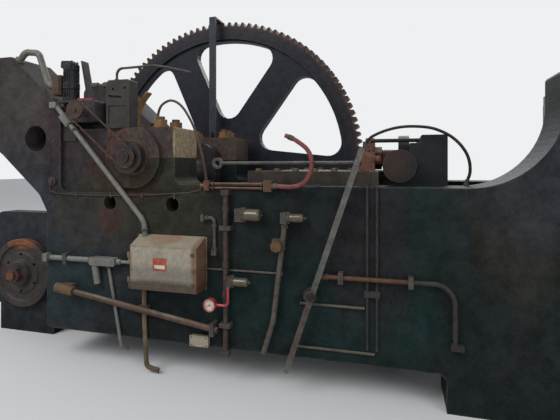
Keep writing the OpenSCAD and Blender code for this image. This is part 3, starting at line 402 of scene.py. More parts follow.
    def _edge_wear_and_highlight(self) -> bpy.types.NodeTree:
        """Sharp edges, broken up, where paint wears off, dirt gathers and a painted highlight lies.

        Returns:
            The group, which puts out a mask.
        """
        tree, graph, io = self._group("edges", {"Radius": 0.006, "Scale": 26.0}, "Mask")
        soft = graph.add("Bevel", samples=4, Radius=io["Radius"])
        flat = graph.add("NewGeometry")
        dot = graph.add("VectorMath", operation="DOT_PRODUCT")
        tree.links.new(soft.outputs["Normal"], dot.inputs[0])
        tree.links.new(flat.outputs["Normal"], dot.inputs[1])
        turned = graph.math("SUBTRACT", 1.0, dot.outputs["Value"])
        sharp = graph.span(turned, low=0.02, high=0.2)
        noise = graph.add(
            "TexNoise", Vector=io["Vector"], Scale=io["Scale"], Detail=5.0, Roughness=0.7,
        )
        broken = graph.span(noise.outputs["Fac"], low=0.38, high=0.6)
        tree.links.new(graph.math("MULTIPLY", sharp, broken), io["out"])
        return tree

    def _settled_dust_and_top_light(self) -> bpy.types.NodeTree:
        """Faces that point up, for a dusty film and for painted top light.

        Returns:
            The group, which puts out a mask.
        """
        tree, graph, io = self._group("settled_dust_and_top_light", {"Scale": 5.0, "Least": 0.35}, "Mask")
        flat = graph.add("NewGeometry")
        part = graph.add("SeparateXYZ", Vector=flat.outputs["Normal"])
        up = graph.span(part.outputs["Z"], low=0.3, high=0.95)
        noise = graph.add(
            "TexNoise", Vector=io["Vector"], Scale=io["Scale"], Detail=7.0, Roughness=0.7,
        )
        cloudy = graph.span(noise.outputs["Fac"], low=0.35, high=0.65)
        uneven = graph.math("MAXIMUM", cloudy, io["Least"])
        tree.links.new(graph.math("MULTIPLY", up, uneven), io["out"])
        return tree

    def _scratches(self) -> bpy.types.NodeTree:
        """Long thin marks along X, such as rubbing and rain leave on sheet.

        Returns:
            The group, which puts out a mask.
        """
        tree, graph, io = self._group("scratches", {"Scale": 8.0, "Amount": 0.4}, "Mask")
        squeeze = graph.add("Mapping", Vector=io["Vector"], Scale=(0.5, 0.5, 9.0))
        noise = graph.add(
            "TexNoise", Vector=squeeze.outputs["Vector"], Scale=io["Scale"], Detail=6.0,
            Roughness=0.75,
        )
        tree.links.new(self._threshold(graph, noise.outputs["Fac"], io["Amount"], 0.12), io["out"])
        return tree

    def _ring(self) -> bpy.types.NodeTree:
        """All that lies further than a radius from the Y axis through the vector's zero.

        Returns:
            The group, which puts out a mask.
        """
        tree, graph, io = self._group("ring", {"Radius": 1.0, "Ragged": 0.02}, "Mask")
        part = graph.add("SeparateXYZ", Vector=io["Vector"])
        square = graph.math(
            "ADD", graph.math("POWER", graph.math("ABSOLUTE", part.outputs["X"]), 2.0),
            graph.math("POWER", graph.math("ABSOLUTE", part.outputs["Z"]), 2.0),
        )
        noise = graph.add("TexNoise", Vector=io["Vector"], Scale=9.0, Detail=6.0, Roughness=0.7)
        wave = graph.math(
            "MULTIPLY", graph.math("SUBTRACT", noise.outputs["Fac"], 0.5), io["Ragged"],
        )
        over = graph.math(
            "SUBTRACT", graph.math("ADD", graph.math("SQRT", square), wave), io["Radius"],
        )
        tree.links.new(graph.span(over, low=-0.012, high=0.012), io["out"])
        return tree


@dataclass(frozen=True)
class Spot:
    """A stained or rusty place on a surface, a ball that stretch makes an egg, in metres."""

    centre: Point
    radius: float
    colour: Colour
    strength: float = 0.8
    ragged: float = 0.25
    stretch: Point = (1.0, 0.5, 1.0)


@dataclass(frozen=True)
class Rim:
    """The outer part of something round that turns on Y, in two colours of its own."""

    centre: Point
    radius: float
    colour: Colour
    second: Colour
    strength: float = 0.9
    ragged: float = 0.05


@dataclass(frozen=True)
class Finish:
    """A weathered finish with patches, dirt, rust, edge wear, a dusty film and a surface relief.

    The second colour lies in patches on the base, with rust and runs of grime over it. The colour
    on sharp edges is partly wear and partly a painted highlight, and the colour on faces that point
    up is partly a dusty film and partly painted top light. Amounts and strengths go from 0 to 1, a
    scale counts noise cells in a metre, and radii and heights are in metres.
    """

    name: str
    base: Colour
    second: Colour
    rust: Colour
    grime: Colour = srgb(16, 15, 14)
    patch_scale: float = 3.0
    patch_amount: float = 0.45
    rust_scale: float = 14.0
    rust_amount: float = 0.25
    grime_amount: float = 0.35
    mottle: float = 0.3
    mottle_scale: float = 22.0
    scratch: float = 0.0
    scratch_scale: float = 8.0
    scratch_colour: Colour = srgb(120, 116, 108)
    # Edge colour: partly wear and partly a painted highlight along the edges.
    wear_and_highlight: float = 0.45
    wear_and_highlight_radius: float = 0.006
    wear_and_highlight_colour: Colour = srgb(104, 98, 90)
    # Colour on faces that point up: partly a dusty film and partly painted top light.
    dust_and_top_light: float = 0.4
    dust_and_top_light_colour: Colour = srgb(96, 90, 80)
    metallic: float = 0.0
    specular: float = 0.14
    rough_low: float = 0.5
    rough_high: float = 0.85
    bump: float = 0.25
    bump_scale: float = 90.0
    coarse: float = 0.5
    speck_share: float = 1.7
    run_strength: float = 0.7
    bump_height: float = 0.004
    spots: tuple[Spot, ...] = ()
    rims: tuple[Rim, ...] = ()

    def build(self, effects: Effects) -> bpy.types.Material:
        """Makes the material.

        Args:
            effects: the shared shader groups.

        Returns:
            The new material.
        """
        material = bpy.data.materials.new(self.name)
        material.use_nodes = True
        tree = material.node_tree
        graph = Graph(tree)
        shader = tree.nodes["Principled BSDF"]
        shader.inputs["Specular IOR Level"].default_value = self.specular
        place = graph.add("TexCoord").outputs["Object"]

        wide = self._group(
            graph, effects.patches, place, Scale=self.patch_scale, Amount=self.patch_amount,
            Soft=0.28,
        )
        runs = self._group(
            graph, effects.streaks, place, Scale=self.patch_scale * 3, Amount=self.grime_amount,
            Soft=0.35,
        )
        rust = self._group(
            graph, effects.patches, place, Scale=self.rust_scale, Amount=self.rust_amount, Soft=0.1,
        )
        relief = self._group(
            graph, effects.relief, place, Scale=self.bump_scale, Coarse=self.coarse,
        )

        colour = graph.mix(wide, self.base, self.second)
        colour = self._spots(graph, effects, place, colour)
        colour = graph.mix(graph.math("MULTIPLY", runs, self.run_strength), colour, self.grime)
        colour = graph.mix(rust, colour, self.rust)
        colour = self._rims(graph, effects, place, colour)
        colour = self._mottled(graph, place, colour)
        if self.scratch > 0:
            marks = self._group(
                graph, effects.scratches, place, Scale=self.scratch_scale, Amount=0.4,
            )
            colour = graph.mix(
                graph.math("MULTIPLY", marks, self.scratch), colour, self.scratch_colour,
            )
        # Edge colour: partly wear and partly a painted highlight along the edges.
        if self.wear_and_highlight > 0:
            edge = self._group(graph, effects.edges, place, Radius=self.wear_and_highlight_radius, Scale=26.0)
            colour = graph.mix(graph.math("MULTIPLY", edge, self.wear_and_highlight), colour, self.wear_and_highlight_colour)
        # Colour on faces that point up: partly a dusty film and partly painted top light.
        if self.dust_and_top_light > 0:
            settled_dust_and_top_light = self._group(graph, effects.settled_dust_and_top_light, place, Scale=5.0, Least=0.35)
            colour = graph.mix(graph.math("MULTIPLY", settled_dust_and_top_light, self.dust_and_top_light), colour, self.dust_and_top_light_colour)
        tree.links.new(colour, shader.inputs["Base Color"])

        speck = graph.add(
            "TexNoise", Vector=place, Scale=self.bump_scale * self.speck_share, Detail=3.0,
        )
        rough = graph.math(
            "ADD", graph.math("MULTIPLY", rust, 0.5),
            graph.math("MULTIPLY", speck.outputs["Fac"], 0.6),
        )
        tree.links.new(
            graph.span(rough, 0.15, 0.85, self.rough_low, self.rough_high),
            shader.inputs["Roughness"],
        )
        if self.metallic > 0:
            clean = graph.math("SUBTRACT", 1.0, rust)
            tree.links.new(graph.math("MULTIPLY", clean, self.metallic), shader.inputs["Metallic"])
        raised = graph.math("ADD", relief, graph.math("MULTIPLY", rust, 0.5))
        bump = graph.add("Bump", Strength=self.bump, Distance=self.bump_height, Height=raised)
        tree.links.new(bump.outputs["Normal"], shader.inputs["Normal"])
        return material

    def _mottled(
        self, graph: Graph, place: bpy.types.NodeSocket, colour: bpy.types.NodeSocket,
    ) -> bpy.types.NodeSocket:
        """Makes a colour lighter and darker in cloudy spots and fine specks.

        Args:
            graph: the material's graph.
            place: the coordinates.
            colour: the colour to vary.

        Returns:
            The varied colour.
        """
        cloud = graph.add(
            "TexNoise", Vector=place, Scale=self.mottle_scale, Detail=8.0, Roughness=0.7,
        )
        speck = graph.add(
            "TexNoise", Vector=place, Scale=self.bump_scale * self.speck_share, Detail=3.0,
        )
        both = graph.math(
            "ADD", graph.math("MULTIPLY", cloud.outputs["Fac"], 0.75),
            graph.math("MULTIPLY", speck.outputs["Fac"], 0.25),
        )
        shade = graph.span(both, 0.32, 0.68, 1.0 - self.mottle, 1.0 + self.mottle * 1.4)
        return graph.add("HueSaturation", Value=shade, Color=colour).outputs["Color"]

    @staticmethod
    def _group(
        graph: Graph, tree: bpy.types.NodeTree, place: bpy.types.NodeSocket, **values: float
    ) -> bpy.types.NodeSocket:
        """Places a shared group.

        Args:
            graph: the material's graph.
            tree: the group.
            place: the coordinates.
            **values: the group's numbers.

        Returns:
            The group's output.
        """
        node = graph.add("Group")
        node.node_tree = tree
        graph.tree.links.new(place, node.inputs["Vector"])
        for name, value in values.items():
            node.inputs[name].default_value = value
        return node.outputs[0]

    def _spots(
        self, graph: Graph, effects: Effects, place: bpy.types.NodeSocket,
        colour: bpy.types.NodeSocket,
    ) -> bpy.types.NodeSocket:
        """Lays the stained places over a colour.

        Args:
            graph: the material's graph.
            effects: the shared groups.
            place: the coordinates.
            colour: the colour under the stains.

        Returns:
            The stained colour.
        """
        for spot in self.spots:
            scale = Vector(spot.stretch)
            centre = Vector(spot.centre)
            shift = [-c * s for c, s in zip(centre, scale)]
            local = graph.add("Mapping", Vector=place, Location=shift, Scale=scale)
            mask = self._group(
                graph, effects.zone, local.outputs["Vector"], Radius=spot.radius,
                Ragged=spot.ragged,
            )
            colour = graph.mix(graph.math("MULTIPLY", mask, spot.strength), colour, spot.colour)
        return colour

    def _rims(
        self, graph: Graph, effects: Effects, place: bpy.types.NodeSocket,
        colour: bpy.types.NodeSocket,
    ) -> bpy.types.NodeSocket:
        """Lays the outer parts of round things over a colour.

        Args:
            graph: the material's graph.
            effects: the shared groups.
            place: the coordinates.
            colour: the colour inside.

        Returns:
            The colour with its rims.
        """
        for rim in self.rims:
            local = graph.add("Mapping", Vector=place, Location=[-c for c in rim.centre])
            mask = self._group(
                graph, effects.ring, local.outputs["Vector"], Radius=rim.radius, Ragged=rim.ragged,
            )
            patches = self._group(graph, effects.patches, place, Scale=14.0, Amount=0.5, Soft=0.25)
            colour = graph.mix(
                graph.math("MULTIPLY", mask, rim.strength), colour,
                graph.mix(patches, rim.colour, rim.second),
            )
        return colour


class Tone(Enum):
    """Colours that several finishes share."""

    BLACK_GREEN = srgb(25, 30, 30)
    DEEP_BROWN = srgb(32, 30, 32)
    TEAL = srgb(18, 42, 40)
    PLATE_BROWN = srgb(57, 52, 51)
    PURPLE_BROWN = srgb(50, 41, 43)
    RED_BROWN = srgb(66, 40, 36)
    BLUE_GREY = srgb(42, 43, 48)
    OLIVE = srgb(44, 42, 34)
    RUST = srgb(92, 56, 38)
    DARK_RUST = srgb(58, 40, 32)
    ORANGE = srgb(128, 74, 38)
    TAN = srgb(136, 122, 98)
    ZINC = srgb(101, 100, 96)
    CREAM = srgb(132, 125, 111)


def spot_at(
    x: float, y: float, z: float, radius: float, tone: Tone, strength: float = 0.8, **more: object
) -> Spot:
    """A stain at a place given in millimetres from the crank axis.

    Args:
        x: distance towards the bed.
        y: distance towards the bull gear.
        z: height over the crank axis.
        radius: the stain's radius in metres.
        tone: its colour.
        strength: how much of the colour under it is hidden.
        **more: other fields of the stain.

    Returns:
        The stain.
    """
    return Spot(tuple(at_crank(x, y, z)), radius, tone.value, strength, **more)


FINISHES = (
    # Paint of the frame casting, with the stains of each region.
    Finish(
        "worn_frame_paint",
        Tone.BLACK_GREEN.value,
        Tone.DEEP_BROWN.value,
        Tone.DARK_RUST.value,
        patch_scale=1.7,
        rust_scale=7.0,
        rust_amount=0.2,
        grime_amount=0.42,
        mottle=0.34,
        mottle_scale=17.0,
        # Lighter edges of the frame: partly wear and partly a painted highlight.
        wear_and_highlight=0.5,
        wear_and_highlight_radius=0.009,
        wear_and_highlight_colour=srgb(104, 101, 96),
        # Pale tops of the frame: partly a dusty film and partly painted top light.
        dust_and_top_light=0.28,
        dust_and_top_light_colour=srgb(64, 66, 66),
        specular=0.05,
        rough_low=0.46,
        rough_high=0.82,
        bump=0.3,
        spots=(
            spot_at(
                -900, 0, 260, 0.62, Tone.PLATE_BROWN, 0.62, ragged=0.5, stretch=(1.0, 0.1, 1.0),
            ),
            spot_at(-560, 0, 20, 0.46, Tone.PLATE_BROWN, 0.7, ragged=0.6, stretch=(1.0, 0.1, 0.9)),
            spot_at(-720, 0, -470, 0.55, Tone.BLUE_GREY, 0.8, ragged=0.5, stretch=(0.8, 0.2, 1.0)),
            spot_at(-400, 0, -430, 0.42, Tone.BLUE_GREY, 0.7, ragged=0.6, stretch=(1.0, 0.2, 0.8)),
            spot_at(-300, -560, 120, 0.26, Tone.PURPLE_BROWN, 0.8, ragged=0.4),
            spot_at(
                -60, -560, -110, 0.17, Tone.RED_BROWN, 0.75, ragged=0.3, stretch=(0.9, 0.5, 1.2),
            ),
            spot_at(60, -560, -250, 0.26, Tone.OLIVE, 0.7, ragged=0.5, stretch=(0.55, 0.5, 1.0)),
            spot_at(340, -560, -90, 0.1, Tone.OLIVE, 0.7, ragged=0.2, stretch=(0.6, 0.5, 1.0)),
            spot_at(
                -127, -560, -322, 0.058, Tone.RED_BROWN, 0.45, ragged=0.05,
                stretch=(1.0, 0.5, 0.78),
            ),
            spot_at(-470, -560, -660, 0.2, Tone.TEAL, 0.45, ragged=0.4, stretch=(0.5, 0.5, 1.0)),
            spot_at(960, -560, -700, 0.2, Tone.TEAL, 0.35, ragged=0.4, stretch=(0.35, 0.5, 1.0)),
            spot_at(1330, -560, -450, 0.34, Tone.TEAL, 0.25, ragged=0.4, stretch=(2.6, 0.5, 0.7)),
            spot_at(
                1180, -560, -400, 0.3, Tone.DEEP_BROWN, 0.7, ragged=0.4, stretch=(1.6, 0.5, 0.8),
            ),
            spot_at(1740, -560, -370, 0.13, Tone.OLIVE, 0.55, ragged=0.3, stretch=(0.9, 0.5, 0.5)),
            spot_at(
                1780, -560, -120, 0.2, Tone.BLUE_GREY, 0.7, ragged=0.4, stretch=(0.8, 0.5, 0.8),
            ),
        ),
    ),
    # Greasy castings on top of the main bearings.
    Finish(
        "greasy_cap_iron",
        srgb(62, 53, 47),
        srgb(46, 39, 37),
        Tone.RUST.value,
        rust_amount=0.26,
        patch_scale=7.0,
        mottle=0.4,
        mottle_scale=34.0,
        bump=0.45,
        wear_and_highlight=0.3,
        dust_and_top_light=0.4,
        dust_and_top_light_colour=srgb(88, 76, 56),
        specular=0.1,
        spots=(
            spot_at(-130, -560, 60, 0.07, Tone.RED_BROWN, 0.7, ragged=0.1, stretch=(0.7, 0.5, 0.5)),
            spot_at(
                140, -540, 96, 0.07, Tone.PURPLE_BROWN, 0.6, ragged=0.08, stretch=(0.9, 0.4, 1.0),
            ),
            spot_at(228, -430, 70, 0.09, Tone.TAN, 0.85, ragged=0.05, stretch=(7.0, 0.5, 0.9)),
            spot_at(60, -560, 30, 0.06, Tone.PURPLE_BROWN, 0.7, ragged=0.1),
        ),
    ),
    # Blue-black spokes of the bull gear, with a rusty rim and teeth.
    Finish(
        "gear_iron",
        srgb(29, 31, 38),
        srgb(22, 24, 30),
        Tone.DARK_RUST.value,
        specular=0.1,
        rust_amount=0.18,
        patch_scale=3.4,
        rust_scale=6.0,
        grime_amount=0.3,
        mottle=0.3,
        wear_and_highlight=0.55,
        wear_and_highlight_radius=0.007,
        wear_and_highlight_colour=srgb(104, 92, 84),
        dust_and_top_light=0.25,
        dust_and_top_light_colour=srgb(84, 78, 74),
        rough_low=0.4,
        rough_high=0.72,
        spots=(spot_at(0, 640, 0, 0.2, Tone.RED_BROWN, 0.6, ragged=0.2, stretch=(1.0, 0.1, 1.0)),),
        rims=(
            Rim(tuple(CRANK), 0.955, srgb(40, 36, 40), srgb(31, 31, 37), 0.65, 0.08),
            Rim(tuple(CRANK), 1.006, srgb(62, 44, 39), srgb(42, 35, 34), 0.9, 0.03),
        ),
    ),
    # Cream enamel of the control box, stained and rusty at its edges.
    Finish(
        "cream_enamel",
        Tone.CREAM.value,
        srgb(118, 110, 94),
        srgb(94, 70, 48),
        grime=srgb(82, 70, 52),
        rust_amount=0.16,
        rust_scale=26.0,
        grime_amount=0.42,
        patch_scale=6.0,
        mottle=0.16,
        mottle_scale=44.0,
        scratch=0.5,
        scratch_scale=9.0,
        scratch_colour=srgb(108, 96, 78),
        wear_and_highlight=0.85,
        wear_and_highlight_radius=0.007,
        wear_and_highlight_colour=srgb(88, 60, 38),
        dust_and_top_light=0.3,
        dust_and_top_light_colour=srgb(138, 126, 102),
        specular=0.3,
        rough_low=0.38,
        rough_high=0.62,
        bump=0.12,
        spots=(
            spot_at(
                230, -640, -632, 0.06, Tone.DARK_RUST, 0.85, ragged=0.12, stretch=(0.14, 0.3, 1.25),
            ),
            spot_at(230, -640, -590, 0.07, Tone.OLIVE, 0.4, ragged=0.16, stretch=(0.16, 0.3, 0.9)),
            spot_at(404, -640, -500, 0.03, Tone.RUST, 0.75, ragged=0.05, stretch=(1.0, 0.3, 0.2)),
            spot_at(52, -640, -520, 0.014, Tone.RUST, 0.6, ragged=0.03, stretch=(1.0, 0.3, 0.16)),
            spot_at(200, -600, -386, 0.045, Tone.ORANGE, 0.45, ragged=0.1, stretch=(0.5, 0.7, 1.0)),
        ),
    ),
    Finish(
        "post_iron", srgb(50, 45, 44), srgb(40, 36, 36), Tone.DARK_RUST.value, rust_amount=0.22,
        patch_scale=8.0, mottle=0.25, dust_and_top_light=0.35, wear_and_highlight_colour=srgb(112, 102, 92),
    ),
    Finish(
        "drive_iron", srgb(46, 41, 41), srgb(36, 32, 32), Tone.DARK_RUST.value, rust_amount=0.25,
        patch_scale=8.0, dust_and_top_light=0.35, dust_and_top_light_colour=srgb(88, 84, 76),
    ),
    Finish(
        "brown_rust", srgb(56, 48, 45), srgb(44, 38, 37), Tone.RUST.value, rust_amount=0.26,
        patch_scale=8.0, rough_low=0.62, rough_high=0.92, bump=0.5, mottle=0.35,
        wear_and_highlight_colour=srgb(96, 78, 62),
    ),
    Finish(
        "disc_rust",
        srgb(48, 43, 42),
        srgb(40, 37, 38),
        Tone.DARK_RUST.value,
        rust_amount=0.22,
        patch_scale=6.0,
        bump=0.4,
        mottle=0.35,
        wear_and_highlight_colour=srgb(104, 92, 82),
        spots=(
            spot_at(-920, -600, -490, 0.07, Tone.ORANGE, 0.6, ragged=0.1, stretch=(0.45, 0.2, 1.0)),
            spot_at(-920, -640, -692, 0.055, Tone.RUST, 0.85, ragged=0.05, stretch=(1.0, 0.2, 1.0)),
        ),
    ),
    # Brace rod: its pale colour on faces that point up is partly dusty and partly painted top
    # light.
    Finish(
        "rod_rust", srgb(72, 56, 46), srgb(52, 42, 37), Tone.RUST.value, rust_amount=0.3,
        patch_scale=10.0, rough_low=0.45, rough_high=0.85, bump=0.4, mottle=0.35, dust_and_top_light=0.6,
        dust_and_top_light_colour=srgb(140, 132, 118),
    ),
    Finish(
        "ochre_rust", srgb(116, 92, 60), srgb(94, 70, 46), Tone.ORANGE.value, rust_amount=0.35,
        patch_scale=11.0, rough_low=0.65, rough_high=0.92, bump=0.5, mottle=0.3,
    ),
    Finish(
        "orange_rust", srgb(108, 82, 57), srgb(86, 62, 45), srgb(122, 78, 45), rust_amount=0.35,
        patch_scale=12.0, rough_low=0.7, rough_high=0.95, bump=0.55, mottle=0.3,
    ),
    Finish(
        "screw_rust", srgb(74, 48, 40), srgb(56, 40, 34), srgb(104, 62, 36), rust_amount=0.35,
        patch_scale=12.0, rough_low=0.6, rough_high=0.95, bump=0.7, mottle=0.45,
        wear_and_highlight_colour=srgb(110, 82, 62),
    ),
    Finish(
        "stud_steel", srgb(92, 78, 64), srgb(70, 56, 46), Tone.ORANGE.value, metallic=0.4,
        rust_amount=0.35, patch_scale=16.0,
    ),
    Finish(
        "oiled_steel", srgb(78, 73, 68), srgb(54, 50, 46), Tone.RUST.value, metallic=0.6,
        rough_low=0.3, rough_high=0.6, rust_amount=0.22, patch_scale=6.0, dust_and_top_light=0.5,
        dust_and_top_light_colour=srgb(112, 100, 84),
    ),
    Finish(
        "crank_steel",
        srgb(52, 48, 48),
        srgb(38, 36, 38),
        Tone.DARK_RUST.value,
        metallic=0.35,
        rough_low=0.32,
        rough_high=0.65,
        rust_amount=0.26,
        patch_scale=9.0,
        wear_and_highlight_colour=srgb(104, 96, 86),
        spots=(spot_at(0, -600, 0, 0.05, Tone.PURPLE_BROWN, 0.6, ragged=0.04),),
    ),
    Finish(
        "dark_paint", srgb(42, 40, 40), srgb(32, 31, 32), Tone.DARK_RUST.value, rust_amount=0.2,
        patch_scale=9.0, wear_and_highlight_colour=srgb(86, 78, 70),
    ),
    Finish(
        "tube_brown", srgb(62, 58, 54), srgb(46, 43, 42), Tone.RUST.value, rust_amount=0.26,
        patch_scale=14.0, metallic=0.2, wear_and_highlight=0.0,
    ),
    Finish(
        "corner_pipe_paint",
        srgb(44, 42, 40),
        srgb(30, 32, 32),
        Tone.DARK_RUST.value,
        rust_amount=0.25,
        patch_scale=9.0,
        rough_low=0.35,
        wear_and_highlight=0.0,
        dust_and_top_light=0.3,
        spots=(
            spot_at(1080, -580, -526, 0.2, Tone.RUST, 0.55, ragged=0.2, stretch=(0.8, 0.3, 1.0)),
        ),
    ),
    Finish(
        "switch_black", srgb(50, 45, 48), srgb(38, 35, 38), Tone.DARK_RUST.value, rust_amount=0.2,
        patch_scale=9.0, wear_and_highlight_colour=srgb(92, 82, 76),
    ),
    Finish(
        "guard_paint", srgb(46, 47, 53), srgb(37, 38, 43), Tone.DARK_RUST.value, rust_amount=0.25,
        patch_scale=9.0, wear_and_highlight_colour=srgb(108, 105, 101), dust_and_top_light=0.3,
    ),
    Finish(
        "black_enamel", srgb(29, 30, 33), srgb(21, 22, 24), Tone.DARK_RUST.value, rust_amount=0.18,
        patch_scale=12.0, rough_low=0.32, rough_high=0.6, bump=0.12, wear_and_highlight_colour=srgb(88, 84, 82),
        dust_and_top_light=0.3,
    ),
    Finish(
        "black_rubber", srgb(36, 32, 30), srgb(28, 26, 25), srgb(60, 48, 40), rust_amount=0.25,
        patch_scale=14.0, rough_low=0.45, rough_high=0.7, bump=0.15, wear_and_highlight=0.0, dust_and_top_light=0.45,
        dust_and_top_light_colour=srgb(88, 82, 76),
    ),
    Finish(
        "brown_hose", srgb(78, 58, 54), srgb(58, 44, 42), srgb(96, 66, 56), rust_amount=0.3,
        patch_scale=20.0, rough_low=0.55, rough_high=0.8, bump=0.3, bump_scale=240.0, wear_and_highlight=0.0,
        dust_and_top_light=0.4,
    ),
    # Conduit zinc: its pale colour on faces that point up is partly dusty and partly painted top
    # light.
    Finish(
        "dull_zinc", Tone.ZINC.value, srgb(83, 82, 79), srgb(92, 76, 58), metallic=0.25,
        rust_amount=0.2, patch_scale=16.0, rough_low=0.45, rough_high=0.7, bump=0.15, mottle=0.16,
        dust_and_top_light=0.5, dust_and_top_light_colour=srgb(140, 138, 132), wear_and_highlight_colour=srgb(140, 138, 130),
    ),
    Finish(
        "flex_conduit", srgb(92, 92, 86), srgb(70, 68, 62), Tone.RUST.value, metallic=0.2,
        rust_amount=0.2, patch_scale=16.0, dust_and_top_light=0.5, dust_and_top_light_colour=srgb(126, 124, 114), wear_and_highlight=0.0,
    ),
    Finish(
        "dull_copper", srgb(84, 60, 48), srgb(60, 46, 41), srgb(112, 68, 48), metallic=0.4,
        rust_amount=0.3, patch_scale=18.0, rough_low=0.4, rough_high=0.65, bump=0.12,
    ),
    Finish(
        "pipe_iron", srgb(58, 50, 44), srgb(44, 39, 36), Tone.RUST.value, metallic=0.1,
        rust_amount=0.3, patch_scale=14.0, wear_and_highlight_colour=srgb(92, 78, 64),
    ),
    Finish(
        "grey_pipe", srgb(74, 68, 62), srgb(56, 52, 49), Tone.RUST.value, metallic=0.15,
        rust_amount=0.28, patch_scale=16.0, dust_and_top_light=0.5,
    ),
    Finish(
        "drain_rust", srgb(84, 72, 56), srgb(64, 50, 42), srgb(96, 60, 44), rust_amount=0.38,
        patch_scale=10.0, rough_low=0.6, rough_high=0.9, dust_and_top_light=0.3, wear_and_highlight=0.0,
        spots=(
            spot_at(240, -580, -850, 0.14, Tone.TAN, 0.75, ragged=0.15, stretch=(1.0, 0.4, 1.0)),
        ),
    ),
    Finish(
        "bearing_bronze", srgb(72, 60, 45), srgb(54, 46, 37), srgb(44, 38, 33), metallic=0.3,
        rust_amount=0.25, patch_scale=10.0, rough_low=0.35, rough_high=0.65,
    ),
    Finish(
        "die_casting", srgb(62, 59, 54), srgb(49, 46, 42), srgb(60, 46, 36), metallic=0.1,
        rust_amount=0.28, patch_scale=14.0, wear_and_highlight_colour=srgb(120, 112, 98),
    ),
    Finish(
        "clamp_steel", srgb(64, 61, 58), srgb(48, 46, 45), Tone.RUST.value, metallic=0.25,
        rust_amount=0.3, patch_scale=14.0, wear_and_highlight_colour=srgb(120, 114, 106),
    ),
    Finish(
        "pivot_steel", srgb(38, 35, 34), srgb(29, 28, 27), Tone.DARK_RUST.value, metallic=0.2,
        rust_amount=0.3, patch_scale=12.0, wear_and_highlight_colour=srgb(128, 122, 114),
    ),
    Finish(
        "lever_steel",
        srgb(84, 83, 81),
        srgb(62, 60, 58),
        Tone.RUST.value,
        metallic=0.35,
        rough_low=0.35,
        rough_high=0.65,
        rust_amount=0.22,
        patch_scale=11.0,
        # Bright edges of the lever: partly wear and partly painted glints.
        wear_and_highlight=0.7,
        wear_and_highlight_radius=0.003,
        wear_and_highlight_colour=srgb(150, 146, 138),
        spots=(spot_at(880, -600, -740, 0.2, Tone.DARK_RUST, 0.55, ragged=0.2),),
    ),
    Finish(
        "rod_steel", srgb(64, 61, 58), srgb(46, 44, 42), Tone.RUST.value, metallic=0.3,
        rough_low=0.4, rough_high=0.7, rust_amount=0.26, patch_scale=12.0, dust_and_top_light=0.5,
        dust_and_top_light_colour=srgb(118, 114, 106), wear_and_highlight=0.3,
    ),
    Finish(
        "amber_bowl",
        srgb(72, 64, 48),
        srgb(55, 48, 37),
        srgb(44, 36, 28),
        rust_amount=0.3,
        patch_scale=16.0,
        specular=0.45,
        rough_low=0.12,
        rough_high=0.34,
        bump=0.06,
        mottle=0.25,
        wear_and_highlight=0.0,
        dust_and_top_light=0.25,
        dust_and_top_light_colour=srgb(120, 110, 88),
    ),
    Finish(
        "red_case", srgb(142, 44, 46), srgb(116, 38, 40), srgb(76, 36, 34), rust_amount=0.2,
        patch_scale=20.0, specular=0.5, rough_low=0.25, rough_high=0.45, bump=0.08,
        wear_and_highlight_colour=srgb(176, 120, 112),
    ),
    Finish(
        "faded_red", srgb(110, 54, 54), srgb(78, 42, 42), Tone.DARK_RUST.value, rust_amount=0.3,
        patch_scale=14.0, dust_and_top_light=0.35,
    ),
    Finish(
        "red_rubber", srgb(104, 58, 56), srgb(80, 48, 48), srgb(66, 46, 44), rust_amount=0.25,
        patch_scale=18.0, rough_low=0.4, rough_high=0.65, bump=0.15, wear_and_highlight=0.0, dust_and_top_light=0.4,
        dust_and_top_light_colour=srgb(138, 104, 98),
    ),
    Finish(
        "slide_paint",
        srgb(27, 31, 33),
        srgb(22, 25, 27),
        Tone.DARK_RUST.value,
        rust_amount=0.14,
        patch_scale=4.0,
        grime_amount=0.4,
        mottle=0.2,
        wear_and_highlight=0.45,
        dust_and_top_light=0.2,
        spots=(
            spot_at(
                1294, -410, -43, 0.07, Tone.DEEP_BROWN, 0.85, ragged=0.06, stretch=(0.8, 0.7, 0.8),
            ),
            spot_at(1250, -300, -20, 0.1, Tone.DARK_RUST, 0.6, ragged=0.1),
            spot_at(900, 0, -80, 0.4, Tone.OLIVE, 0.6, ragged=0.3, stretch=(0.9, 0.6, 1.0)),
        ),
    ),
    Finish(
        "gib_iron", srgb(52, 48, 42), srgb(42, 39, 36), Tone.DARK_RUST.value, rust_amount=0.2,
        patch_scale=7.0, metallic=0.2, dust_and_top_light=0.75, dust_and_top_light_colour=srgb(104, 94, 74),
        wear_and_highlight_colour=srgb(128, 120, 102),
    ),
    Finish(
        "brown_plastic", srgb(84, 62, 42), srgb(62, 46, 34), srgb(46, 36, 28), rust_amount=0.2,
        patch_scale=24.0, rough_low=0.35, rough_high=0.6, bump=0.08,
    ),
    Finish(
        "block_rust", srgb(84, 56, 46), srgb(60, 44, 38), srgb(108, 64, 40), rust_amount=0.35,
        patch_scale=14.0, rough_low=0.6, rough_high=0.95, bump=0.6, mottle=0.4,
    ),
    Finish(
        "chain_steel", srgb(58, 48, 42), srgb(42, 36, 33), Tone.RUST.value, rust_amount=0.3,
        patch_scale=14.0, metallic=0.2, wear_and_highlight_colour=srgb(104, 88, 72),
    ),
    Finish(
        "socket_rust", srgb(86, 66, 44), srgb(60, 46, 36), Tone.RUST.value, rust_amount=0.35,
        patch_scale=12.0, rough_low=0.6, rough_high=0.92, bump=0.5,
    ),
    Finish(
        "terminal_rust", srgb(68, 54, 44), srgb(52, 42, 37), Tone.RUST.value, rust_amount=0.3,
        patch_scale=12.0, dust_and_top_light=0.45,
    ),
    # Finishes that only the added pieces have.
    Finish(
        "pale_dial", srgb(176, 166, 150), srgb(156, 146, 128), srgb(104, 84, 62), rust_amount=0.12,
        patch_scale=30.0, rough_low=0.3, rough_high=0.5, bump=0.03, wear_and_highlight=0.0, mottle=0.1,
    ),
    Finish(
